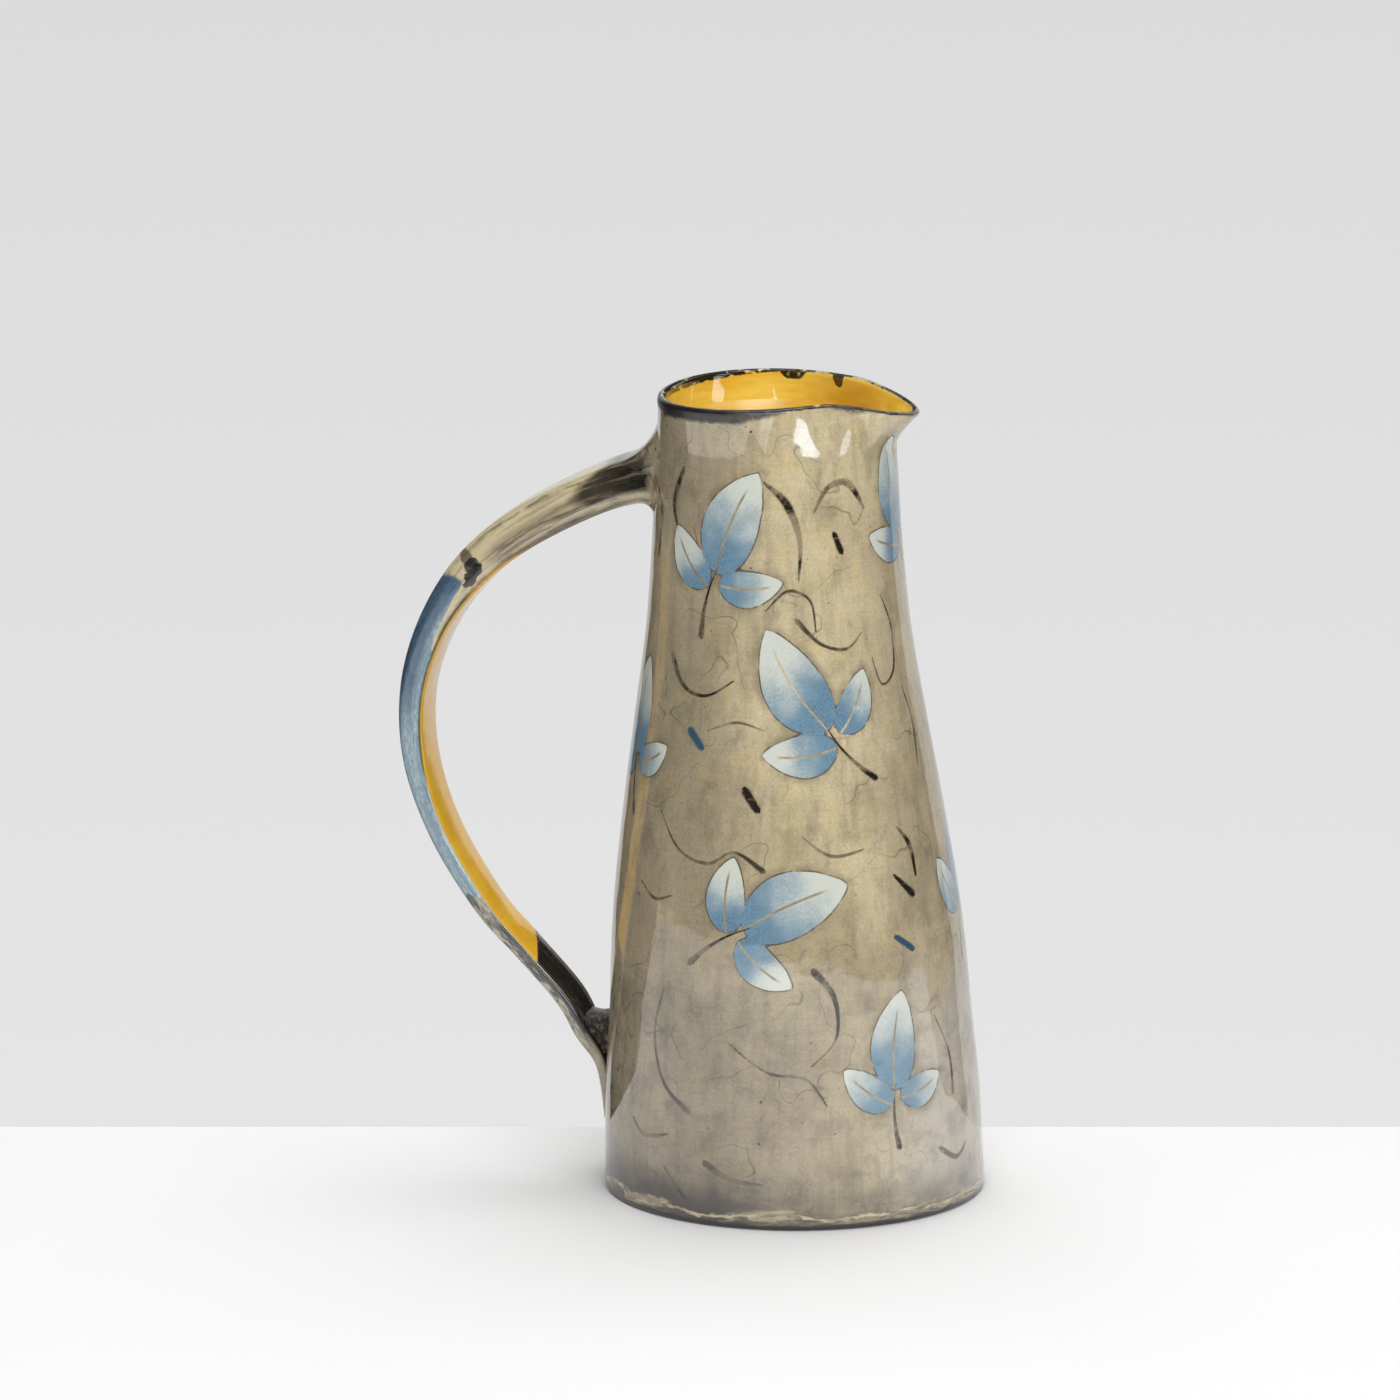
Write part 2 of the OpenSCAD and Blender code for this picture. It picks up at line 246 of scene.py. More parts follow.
def skin_mesh(name, points, normals=None, ring=False, fields=None):
    """A closed skin from rows of points: a ring joins up, and other skins close at a pole at each end.
    Faces point outwards, because they are turned over where the enclosed volume comes out negative."""
    row_count, column_count = points.shape[:2]
    flat = points.reshape(-1, 3)
    faces = grid_faces(row_count, column_count, ring).tolist()
    if not ring:
        flat = np.concatenate([flat, [points[0].mean(0), points[-1].mean(0)]])
        faces += cap_faces(0, column_count, len(flat) - 2, False).tolist()
        faces += cap_faces(row_count - 1, column_count, len(flat) - 1, True).tolist()
    corner = np.array([f[:3] for f in faces])
    far = np.array([(f[0], f[2], f[-1]) for f in faces])
    volume = sum(
        np.einsum("ij,ij->i", flat[t[:, 0]], np.cross(flat[t[:, 1]], flat[t[:, 2]])).sum()
        for t in (corner, far)
    )
    if volume < 0:
        faces = [f[::-1] for f in faces]
    mesh = bpy.data.meshes.new(name)
    mesh.from_pydata((flat * MM).tolist(), [], faces)
    mesh.shade_smooth()
    for field, values in (fields or {}).items():
        spread = np.zeros((len(flat), 3), np.float32)
        spread[: row_count * column_count] = values.reshape(-1, 3)
        spread[row_count * column_count :] = values[[0, -1]].mean(1)[: len(flat) - row_count * column_count]
        mesh.attributes.new(field, "FLOAT_VECTOR", "POINT").data.foreach_set("vector", spread.ravel())
    if normals is not None:
        spread = np.zeros((len(flat), 3), np.float32)
        spread[: row_count * column_count] = normals.reshape(-1, 3)
        mesh.normals_split_custom_set_from_vertices(spread.tolist())
    mesh.validate()
    piece = bpy.data.objects.new(name, mesh)
    bpy.context.scene.collection.objects.link(piece)
    return piece


# Painted marks on the outside. Places are (turn from the middle of the front, height).

FRONT_TURN = -78
# Fields far from any mark
NO_LEAF, NO_STROKE = (-9, 0, 0), (4, 5, 0)


def mark_plane(turns, heights, centre):
    """Flat coordinates round a mark's centre: distance round the wall at that height, and height."""
    turn, z = centre
    away = from_tip(turns - turn - FRONT_TURN)
    return np.radians(away) * round_r(z), heights - z


def leaf_field(turns, heights, leaves):
    """For each point: distance inside the nearest leaf's edge, share along it, distance across it.
    A leaf's half width is a rounded base times a pointed tip, about a midrib bent as a parabola."""
    field = np.full(turns.shape + (3,), NO_LEAF, float)
    for base, heading, length, width, bend in leaves:
        x, y = mark_plane(turns, heights, base)
        a = np.radians(heading)
        t = (x * np.cos(a) + y * np.sin(a)) / length
        n = -x * np.sin(a) + y * np.cos(a) - bend * 4 * t * (1 - t)
        s = np.clip(t, 1e-4, 1 - 1e-4)
        half = width / 2 * s**0.55 * (1 - s) ** 0.8 / 0.38
        slope = np.gradient(half, axis=0) / np.maximum(np.abs(np.gradient(t, axis=0)) * length, 1e-6)
        inside = (half - np.abs(n)) / np.sqrt(1 + np.clip(slope, -2, 2) ** 2)
        past = np.maximum(np.maximum(-t, t - 1), 0) * length
        inside = np.where(past > 0, -np.hypot(past, n), inside)
        closer = inside > field[..., 0]
        field[closer] = np.stack([inside, t, n], -1)[closer]
    return field


def stroke_field(turns, heights, strokes):
    """For each point: distance across the nearest stroke as a share of its half width there, distance
    outside it, ink. The stroke's middle is a smooth curve through its places."""
    field = np.full(turns.shape + (3,), NO_STROKE, float)
    for places, half_widths, ink in strokes:
        places = np.array(places, float)
        centre = places.mean(0)
        scale = np.radians(1) * round_r(centre[1])
        control = (places - centre) * [scale, 1]
        steps = np.linspace(0, len(control) - 1, 10 * (len(control) - 1) + 1)
        line = curve_at(control, steps)
        widths = curve_at(np.array(half_widths, float), steps * (len(half_widths) - 1) / (len(control) - 1))
        x, y = mark_plane(turns, heights, centre)
        reach = np.abs(control).max(0) + 6
        near = (np.abs(x) < reach[0]) & (np.abs(y) < reach[1])
        p = np.stack([x[near], y[near]], -1)[:, None, :]
        a, step = line[:-1], np.diff(line, axis=0)
        share = np.clip(((p - a) * step).sum(-1) / (step**2).sum(-1), 0, 1)
        off = p - a - share[..., None] * step
        away = np.linalg.norm(off, axis=-1)
        best = away.argmin(1)
        pick = np.arange(len(p)), best
        side = np.sign(step[best, 0] * off[pick][:, 1] - step[best, 1] * off[pick][:, 0])
        half = widths[best] + share[pick] * np.diff(widths)[best]
        outside = away[pick] - half
        share_across = np.clip(side * away[pick] / half, -4, 4)
        found = np.stack([share_across, np.clip(outside, -5, 5), 0 * half + ink], -1)
        old = field[near]
        closer = outside < old[:, 1]
        old[closer] = found[closer]
        field[near] = old
    return field


def sprig(place, heading, size):
    """A sprig of three leaves on a bent stem: the leaves, and the stem's stroke."""
    turn, z = place
    scale = np.degrees(1 / round_r(z))

    def beyond(along, aside):
        a = np.radians(heading)
        x = along * np.cos(a) - aside * np.sin(a)
        y = along * np.sin(a) + aside * np.cos(a)
        return turn + size * x * scale, z + size * y

    leaves = [
        (beyond(10, 1.5), heading + 4, 37 * size, 19 * size, 2 * size),
        (beyond(4, 2), heading + 66, 24 * size, 12.5 * size, 1.5 * size),
        (beyond(7, -1.5), heading - 58, 22 * size, 11.5 * size, -1.5 * size),
    ]
    stem = ([beyond(-11, -4), beyond(-4, -1), beyond(4, 1), beyond(12, 1.6)], [0.9, 0.55, 0.3, 0.15], 0.8)
    return leaves, stem


# Sprigs: place, heading in degrees from level, size
SPRIGS = [
    ((-34, 186), 62, 0.9), ((26, 141), 118, 0.95), ((-24, 86), 18, 0.95), ((32, 33), 76, 0.8),
    ((78, 196), 98, 0.8), ((-72, 128), 84, 0.8), ((78, 84), 60, 0.9),
    ((118, 150), 110, 0.95), ((-142, 168), 68, 0.85), ((128, 44), 84, 1), ((176, 118), 72, 0.95),
    ((-158, 60), 112, 0.95), ((158, 196), 60, 0.8), ((-122, 78), 58, 0.8),
]
# Ink of the short dashes: a share up to 1 is black, and 3 is blue
DARK, BLUE = 1, 3
# Strokes: places that the middle runs through, half widths in mm spread evenly along it, ink
STROKES = [
    ([(-6, 222), (4, 216), (10, 205), (9, 193)], [0.35, 1.1, 0.7, 0.25], 0.95),
    ([(17, 213), (24, 220), (35, 221), (44, 213)], [0.3, 0.7, 1.0, 0.4], 0.95),
    ([(-86, 229), (-83, 218), (-84, 208)], [2.0, 1.5, 0.8], 0.85),
    ([(-74, 216), (-68, 209), (-70, 196)], [0.5, 0.9, 0.4], 0.9),
    ([(-50, 224), (-56, 214), (-53, 206)], [0.7, 0.9, 0.3], 0.9),
    ([(-6, 184), (4, 190), (14, 187), (16, 178)], [0.2, 0.4, 0.35, 0.2], 0.7),
    ([(52, 186), (58, 176), (56, 164), (47, 160), (43, 168)], [0.2, 0.35, 0.4, 0.3, 0.2], 0.7),
    ([(-30, 148), (-18, 151), (-7, 149)], [0.2, 0.35, 0.2], 0.6),
    ([(40, 104), (47, 98)], [0.5, 1.1], DARK),
    ([(-58, 100), (-50, 96), (-42, 98)], [0.2, 0.45, 0.2], 0.6),
    ([(-43, 15.5), (-36, 8), (-26, 2)], [0.5, 0.4, 0.3], 0.9),
    ([(-58, 28), (-52, 24), (-42, 26)], [0.3, 0.6, 0.3], 0.6),
    ([(27, 206), (30, 201)], [0.8, 0.9], DARK),
    ([(-52, 168), (-44, 160), (-32, 158), (-20, 163)], [0.9, 0.6, 0.4, 0.2], 0.75),
    ([(-38, 147), (-33, 143)], [1.15, 1.0], BLUE),
    ([(38, 176), (30, 172), (18, 174), (8, 181)], [0.2, 0.4, 0.45, 0.7], 0.7),
    ([(-14, 131), (-10, 126)], [1.2, 1.1], DARK),
    ([(-50, 122), (-40, 112), (-28, 109), (-18, 113), (-8, 108)], [0.15, 0.35, 0.45, 0.35, 0.8], 0.7),
    ([(44, 118), (49, 112), (50, 103)], [0.3, 0.8, 0.4], 0.85),
    ([(6, 118), (16, 112), (28, 113)], [0.2, 0.45, 0.3], 0.55),
    ([(-44, 70), (-48, 56), (-44, 42), (-34, 34)], [0.3, 0.5, 0.5, 0.8], 0.65),
    ([(8, 78), (14, 70), (14, 58), (6, 50)], [1.1, 0.7, 0.35, 0.2], 0.75),
    ([(38, 86), (44, 82)], [0.8, 0.9], BLUE),
    ([(-20, 56), (-8, 48), (4, 46), (10, 38)], [0.2, 0.35, 0.4, 0.25], 0.65),
    ([(-28, 19), (-20, 15), (-10, 14)], [0.9, 0.7, 0.25], 0.6),
    ([(52, 60), (58, 48), (58, 36)], [0.2, 0.4, 0.7], 0.6),
    ([(50, 20), (58, 16), (64, 19)], [0.8, 0.7, 0.3], 0.6),
    ([(60, 158), (64, 146), (62, 134)], [0.25, 0.5, 0.25], 0.6),
    ([(88, 216), (96, 208), (108, 206), (118, 212)], [0.9, 0.7, 0.4, 0.2], 0.9),
    ([(94, 128), (100, 118), (98, 106)], [0.3, 0.6, 0.9], 0.8),
    ([(100, 180), (106, 176)], [0.9, 0.8], DARK),
    ([(104, 70), (112, 62), (124, 60), (134, 66)], [0.2, 0.4, 0.5, 0.8], 0.7),
    ([(146, 160), (152, 148), (150, 134)], [0.9, 0.5, 0.2], 0.8),
    ([(150, 92), (156, 88)], [0.9, 0.9], BLUE),
    ([(-92, 150), (-100, 140), (-112, 138), (-122, 144)], [0.9, 0.6, 0.4, 0.2], 0.8),
    ([(-96, 110), (-92, 106)], [0.9, 0.8], BLUE),
    ([(-102, 60), (-96, 48), (-100, 36)], [0.2, 0.5, 0.8], 0.7),
    ([(-136, 140), (-144, 130), (-144, 116), (-136, 106)], [0.3, 0.6, 0.5, 0.2], 0.7),
    ([(-84, 30), (-76, 26), (-70, 28)], [0.4, 0.6, 0.2], 0.6),
    ([(-136, 40), (-126, 34), (-114, 36)], [0.9, 0.6, 0.2], 0.7),
    ([(-142, 214), (-132, 210)], [0.9, 0.4], DARK),
    ([(172, 78), (164, 70), (152, 72)], [0.8, 0.5, 0.2], 0.7),
]


# Pot's pieces


def pot_pieces():
    """Base, wall with its lip, and lining, each taking its rows of one skin, so that they meet unseen."""
    rows, base_end, rim_start, lining_start = pot_profile()
    turns = np.arange(COLUMNS) * 360 / COLUMNS
    points = carried_round(rows, turns)
    normals = grid_normals(points)
    middle = len(rows) // 3
    if normals[middle, 0, 0] * (points[middle, 0, 0] - axis_x(rows[middle, 0])) < 0:
        normals = -normals
    over = rim_distance(points, rim_start)
    low, high = slice(base_end + 1), slice(lining_start, None)
    middle = slice(base_end, lining_start + 1)
    base = base_piece(points[low], normals[low], turns)
    wall = wall_piece(rows[middle], points[middle], normals[middle], over[middle], turns)
    return base, wall, lining_piece(rows[high], points[high], normals[high], turns)


def base_piece(points, normals, turns):
    """The base: its rows of the skin, closed on top by rows that the wall hides."""
    hidden = np.array([(BASE_T, 0.5, 0, 1), (BASE_T, 4, 0, 0.5), (BASE_T, 4, 0, FIRST_SHARE)])
    points = np.concatenate([points, carried_round(hidden, turns)])
    return skin_mesh("base_slab", points, padded(normals, points))


def wall_piece(rows, points, normals, over, turns):
    """The wall with its lip: its rows of the skin, closed by rows hidden inside the clay, with the
    painted marks and the distance over the rim as fields."""
    z = np.linspace(rows[-1, 0] - 1, rows[0, 0], 14)
    hidden = np.stack([z, wall_t(z) * 0.8, 0 * z, 1 + 0 * z], -1)
    points = np.concatenate([points, carried_round(hidden, turns)])
    over = np.concatenate([over, np.full((len(hidden), COLUMNS), 20.0)])
    turns = np.broadcast_to(turns, points.shape[:2])
    leaves, strokes = [], list(STROKES)
    for place, heading, size in SPRIGS:
        blades, stem = sprig(place, heading, size)
        leaves += blades
        strokes.append(stem)
    leaf = leaf_field(turns, points[..., 2], leaves)
    stroke = stroke_field(turns, points[..., 2], strokes)
    leaf[over >= 0], stroke[over >= 0] = NO_LEAF, NO_STROKE
    fields = {"leaf": leaf, "stroke": stroke, "rim": rim_field(over, turns)}
    return skin_mesh("wall_and_lip", points, padded(normals, points), True, fields)


def lining_piece(rows, points, normals, turns):
    """The yellow lining: its rows of the skin, and a back that lies a glaze's thickness behind them."""
    back = rows.copy()
    back[:, 1] -= LINER_T * np.minimum(1, np.arange(len(back)) / 3)
    back[back[:, 3] < 1, 0] -= LINER_T
    points = np.concatenate([points, carried_round(back[::-3], turns)])
    return skin_mesh("yellow_lining", points, padded(normals, points), True)


def padded(normals, points):
    """Normals for the rows that show, and the grid's own for the hidden rows after them."""
    own = grid_normals(points)
    own[: len(normals)] = normals
    return own


def rim_distance(points, rim_start):
    """Distance along the profile from the top of the rim, less than 0 outside and more inside."""
    steps = np.linalg.norm(np.diff(points, axis=0), axis=-1)
    along = np.concatenate([np.zeros((1, points.shape[1])), np.cumsum(steps, 0)])
    return along - along[rim_start + RIM_STEPS // 2]


# Black smears below the rim: turn from the middle of the front, depth, half angle, power of the bell
RIM_SMEARS = [(-42, 4, 40, 4), (38, 1.1, 12, 2), (-160, 1.6, 50, 2)]
# Black drips inside the rim: turn, length past the others, half angle
INSIDE_DRIPS = [(63, 1.2, 4.2), (92, 0.3, 7), (-60, 0.6, 5), (-128, 0.8, 6)]


def rim_field(over, turns):
    """Distance over the rim, how far the black smears down outside there, and how far it goes inside."""
    front = from_tip(turns - FRONT_TURN)
    smudge = sum(
        depth * np.exp(-(((front - turn) / half_angle) ** power))
        for turn, depth, half_angle, power in RIM_SMEARS
    )
    band = 0.5 + 2.3 * ease((np.abs(from_tip(turns)) - 70) / 90)
    for turn, depth, half_angle in INSIDE_DRIPS:
        bell = np.sqrt(np.clip(1 - (from_tip(turns - turn) / half_angle) ** 2, 0, 1))
        band = np.maximum(band, (3.2 + depth) * bell)
    return np.stack([over, smudge, band], -1)


# Handle


def strap_points():
    top_z, low_z = HANDLE_TOP_Z, HANDLE_LOW_Z
    top, low = axis_x(top_z) - round_r(top_z), axis_x(low_z) - round_r(low_z)
    bow, drop = BOW_SHARES.T
    return np.stack([top + (low - top) * drop - HANDLE_REACH * bow, top_z + (low_z - top_z) * drop], -1)


STRAP_POINTS = strap_points()
LAST_PLACE = len(STRAP_POINTS) - 1
# Grid of the strap: steps round a corner, across a wide side and a thin side, and rows along it
CORNER_STEPS, WIDE_STEPS, THIN_STEPS, STRAP_ROWS, FLARE_ROWS = 9, 16, 7, 360, 26
# How far a fillet's curve keeps to the wall and to the strap, as a share of its radius
FILLET_PULL = 0.6


def strap_outline():
    """Spots round the strap's section: side of the middle, side outward, and direction of rounding.
    Each quarter turn of an edge is followed by a flat side."""
    spots = []
    signs = [(1, 1), (-1, 1), (-1, -1), (1, -1)]
    for k, (across, out) in enumerate(signs):
        for step in range(CORNER_STEPS):
            a = np.pi / 2 * (k + step / CORNER_STEPS)
            spots.append((across, out, np.cos(a), np.sin(a)))
        a = np.pi / 2 * (k + 1)
        next_across, next_out = signs[(k + 1) % 4]
        flat = WIDE_STEPS if k % 2 == 0 else THIN_STEPS
        for share in np.arange(flat) / flat:
            beside = across + (next_across - across) * share
            spots.append((beside, out + (next_out - out) * share, np.cos(a), np.sin(a)))
    return np.array(spots)


def strap_surface(place, spots):
    """Points of the strap: the rounded section set square to the middle line at each place. The faces
    fall away from their middle by the crown times the squared share across."""
    middle = curve_at(STRAP_POINTS, place)
    along = curve_at(STRAP_POINTS, place + 0.02) - curve_at(STRAP_POINTS, place - 0.02)
    along /= np.linalg.norm(along, axis=-1, keepdims=True)
    thick = STRAP_T + (STRAP_ROOT_T - STRAP_T) * curve_at(THICK_SHARES, place)
    wide = STRAP_W + (STRAP_LOW_W - STRAP_W) * curve_at(NARROW_SHARES, place)
    edge = EDGE_SHARE * thick
    across = spots[:, 0] * (wide / 2 - edge) + edge * spots[:, 2]
    out = spots[:, 1] * (thick / 2 - edge) + edge * spots[:, 3]
    out_share = 2 * out / thick
    crown = np.where(out < 0, INNER_CROWN, OUTER_CROWN) * (2 * across / wide) ** 2
    waver = 0.25 * (0.5 + 0.5 * np.sin(place * 2.1 + spots[:, 0]))
    out = out - np.sign(out) * (crown + waver) * np.abs(out_share)
    x = middle[..., 0] + along[..., 1] * out
    z = middle[..., 1] - along[..., 0] * out
    return np.stack([x, across, z], -1), 2 * across / wide, out_share


def back_x(y, z):
    return axis_x(z) - np.sqrt(round_r(z) ** 2 - y**2)


def strap_starts(spots, fillet):
    """Place along the strap at which each of its lines is its fillet's radius off the wall."""
    trial = np.linspace(0.8, 3, 200)
    points = strap_surface(np.repeat(trial[:, None], len(spots), 1), spots)[0]
    off_wall = back_x(points[..., 1], points[..., 2]) - points[..., 0]
    return np.array([np.interp(r, off_wall[:, k], trial) for k, r in enumerate(fillet)])


def root_flare(spots, fillet, start, root, t):
    """Clay smoothed round the upper root: each line of the strap starts with a cubic curve that leaves
    the wall flat and ends along the strap, a fillet's radius away."""
    ahead = strap_surface(start + 0.02, spots)[0] - root
    ahead /= np.linalg.norm(ahead, axis=-1, keepdims=True)
    lead = root - ahead * fillet[:, None]
    foot_y, foot_z = lead[:, 1] + fillet * spots[:, 2], lead[:, 2] + fillet * spots[:, 3]
    foot = np.stack([back_x(foot_y, foot_z) + 0.25, foot_y, foot_z], -1)
    pull = FILLET_PULL * fillet
    near_y, near_z = foot_y - pull * spots[:, 2], foot_z - pull * spots[:, 3]
    near_wall = np.stack([back_x(near_y, near_z) + 0.1, near_y, near_z], -1)
    near_strap = root - pull[:, None] * ahead
    left = 1 - t
    return left**3 * foot + 3 * t * left**2 * near_wall + 3 * t**2 * left * near_strap + t**3 * root


def strap_lengths(place):
    """Length along the strap's middle line from its second point, which lies on the wall."""
    fine = np.linspace(0, LAST_PLACE, 100 * LAST_PLACE + 1)
    steps = np.linalg.norm(np.diff(curve_at(STRAP_POINTS, fine), axis=0), axis=-1)
    travelled = np.concatenate([[0], np.cumsum(steps)])
    return np.interp(place, fine, travelled) - travelled[100]


def handle_pieces():
    """The strap, and the clay smoothed round its upper root, as rows of one skin."""
    spots = strap_outline()
    fillet = LOW_FILLET + (TOP_FILLET - LOW_FILLET) * np.maximum(0, spots[:, 3])
    start = strap_starts(spots, fillet)
    place = start + (LAST_PLACE - start) * np.linspace(0, 1, STRAP_ROWS)[:, None]
    points, across, out = strap_surface(place, spots)
    t = np.linspace(0, 1, FLARE_ROWS)[:, None, None]
    flare = root_flare(spots, fillet, start, points[0], t)
    whole = np.concatenate([flare[:-1], points])
    normals = grid_normals(whole)
    if ((whole - whole.mean(1, keepdims=True)) * normals).sum() < 0:
        normals = -normals

    length = strap_lengths(place)
    fields = {"strap": np.stack([length, across, out], -1)}
    strap = skin_mesh("handle_strap_skin", points, normals[len(flare) - 1 :], False, fields)
    root_length = length[0] - np.linalg.norm(flare - points[0], axis=-1)
    sides = [np.broadcast_to(part[0], flare.shape[:2]) for part in (across, out)]
    fields = {"strap": np.stack([root_length, *sides], -1), "spread": np.broadcast_to(1 - t, flare.shape)}
    return strap, skin_mesh("handle_root", flare, normals[: len(flare)], False, fields)


def web_piece():
    """Clay pressed into the lower corner: level rounded sections between the wall and the strap, their
    ends hollowed by a finger, with a rough skin of small waves."""
    top = HANDLE_LOW_Z + WEB_RISE
    heights = np.linspace(top, top - WEB_H, 40)[:, None]
    turn = np.linspace(0, 2 * np.pi, 72, endpoint=False)[None, :]
    place = np.interp(-heights, -STRAP_POINTS[1:, 1], np.arange(1, LAST_PLACE + 1))
    strap_x = curve_at(STRAP_POINTS, place)[..., 0]
    wall_x = back_x(0, heights) + 1.5
    square = 0.35
    c, s = np.cos(turn), np.sin(turn)
    y = WEB_W / 2 * np.sign(s) * np.abs(s) ** square
    x = (wall_x + strap_x) / 2 + (wall_x - strap_x) / 2 * np.sign(c) * np.abs(c) ** square
    y = y * (1 - 0.16 * np.cos(np.pi * (x - strap_x) / (wall_x - strap_x) - np.pi / 2) ** 2)
    rough = 0.25 * np.sin(1.9 * x + 1.1 * heights) * np.sin(2.3 * heights + 0.7 * y)
    y = y + rough * np.abs(s)
    z = heights - 1.3 * np.sin(np.pi * np.clip((x - strap_x) / (wall_x - strap_x), 0, 1)) * ease(
        (heights - top + 8) / 8
    )
    return skin_mesh("pressed_web", np.stack([x, y, np.broadcast_to(z, x.shape)], -1))


# Materials


def rgb(red, green, blue):
    """A colour read in 0 to 255 steps, as the linear values that a shader takes."""
    c = np.array([red, green, blue]) / 255
    linear = np.where(c < 0.04045, c / 12.92, ((c + 0.055) / 1.055) ** 2.4)
    return (*linear.tolist(), 1)


GLAZE_IOR = 1.82
# Soft edge of a speck, in mm
SPECK_EDGE = 0.09
# Direction to the right as the jug is seen, as shares of x and y
VIEW_SIDE_X, VIEW_SIDE_Y = 0.98, 0.21

WHITE = rgb(255, 255, 255)
KHAKI_LIGHT, KHAKI, KHAKI_DARK = rgb(218, 203, 168), rgb(198, 183, 150), rgb(144, 133, 110)
# The last of these is the lilac grey of a painted reflection on the wall.
KHAKI_GREEN, KHAKI_WARM, REFLECTION_GREY = rgb(172, 164, 128), rgb(222, 200, 142), rgb(190, 188, 188)
# The first tint darkens the wall toward its sides as seen, as painted shade, and low down as a darker tone.
SHADE_AND_TONE_TINT, DRAG_TINT = rgb(206, 206, 212), rgb(190, 184, 172)
THROWN_TINT, GRAIN_TINT = rgb(186, 180, 166), rgb(176, 166, 150)
# The foot's stained edge is darkened as painted shade where the foot meets the table.
GREY_SMOKE, FOOT_STAIN_AND_SHADE, INK = rgb(62, 58, 56), rgb(20, 16, 14), rgb(38, 33, 30)
BROWN_STAIN, HALO_BROWN = rgb(78, 66, 52), rgb(122, 110, 88)
CREAM, THIN_CREAM, OCHRE = rgb(200, 187, 150), rgb(205, 190, 156), rgb(206, 176, 92)
BLUE_DEEP, BLUE_MID, BLUE_PALE = rgb(86, 118, 142), rgb(116, 148, 168), rgb(206, 210, 200)
NAVY, RIM_BLACK, RIM_BLUE = rgb(54, 82, 102), rgb(18, 16, 15), rgb(26, 30, 56)
YELLOW, YELLOW_DEEP = rgb(254, 214, 86), rgb(240, 188, 58)
YELLOW_TINT, YELLOW_STRONG = rgb(214, 196, 160), rgb(244, 182, 24)
CLAY, CLAY_DARK = rgb(176, 150, 122), rgb(150, 122, 96)
# Strap
STROKE_BROWN, ORANGE, OLIVE = rgb(128, 116, 92), rgb(190, 124, 58), rgb(140, 130, 108)
RIDGE_BROWN, STREAK_BROWN = rgb(112, 102, 80), rgb(84, 72, 62)
PATCH_BROWN, PATCH_BLACK, DAB_BLACK = rgb(62, 55, 46), rgb(26, 25, 24), rgb(24, 23, 24)
PALE_BLUE, PALE_BLUE_LIGHT, PALE_BLUE_DARK = rgb(112, 136, 150), rgb(158, 176, 180), rgb(96, 120, 136)
DEEP_BLUE, DEEP_BLUE_LIGHT, DEEP_BLUE_GRAIN = rgb(48, 68, 92), rgb(72, 100, 124), rgb(92, 120, 138)
LOW_DARK, LOW_LIGHT, LOW_BLACK = rgb(72, 70, 70), rgb(176, 168, 148), rgb(40, 36, 34)
# The second of these is a painted highlight along the strap's edge.
TAIL_CREAM, HIGHLIGHT_CREAM, SEAM_GREEN = rgb(214, 206, 186), rgb(222, 214, 190), rgb(70, 84, 70)
INNER_BLACK, INNER_BROWN, WORN_GREY = rgb(24, 20, 18), rgb(62, 50, 40), rgb(140, 134, 126)
# The last of these is the pale fleck of a painted glint on the web.
ROOT_SMUDGE, WEB_BLACK, WEB_BROWN, WEB_GLINT = (
    rgb(70, 62, 54), rgb(16, 14, 13), rgb(112, 94, 76), rgb(168, 150, 128)
)


class Value:
    """A node's output, with which sums, differences and products are written as with numbers."""

    def __init__(self, maker, socket):
        self.maker, self.socket = maker, socket

    def __add__(self, other):
        return self.maker.math("ADD", self, other)

    def __radd__(self, other):
        return self.maker.math("ADD", other, self)

    def __sub__(self, other):
        return self.maker.math("SUBTRACT", self, other)

    def __rsub__(self, other):
        return self.maker.math("SUBTRACT", other, self)

    def __mul__(self, other):
        return self.maker.math("MULTIPLY", self, other)

    def __abs__(self):
        return self.maker.math("ABSOLUTE", self)


class NodeMaker:
    """Adds nodes to a tree by short calls that take numbers, colours or other nodes' outputs."""

    def __init__(self, tree):
        self.tree = tree

    def put(self, socket, value):
        if isinstance(value, Value):
            self.tree.links.new(value.socket, socket)
        else:
            socket.default_value = value

    def node(self, kind, inputs, **settings):
        """Outputs, by number and by name, of a new node with those inputs and settings."""
        node = self.tree.nodes.new("ShaderNode" + kind)
        for name, value in settings.items():
            setattr(node, name, value)
        for socket, value in inputs.items():
            self.put(node.inputs[socket], value)
        return {key: Value(self, s) for k, s in enumerate(node.outputs) for key in (k, s.name)}

    def math(self, operation, a, b=0.0):
        return self.node("Math", {0: a, 1: b}, operation=operation)[0]

    def either(self, a, b):
        return self.math("MAXIMUM", a, b)

    def mix(self, share, a, b, blend="MIX"):
        return self.node("Mix", {0: share, 6: a, 7: b}, data_type="RGBA", blend_type=blend)[2]


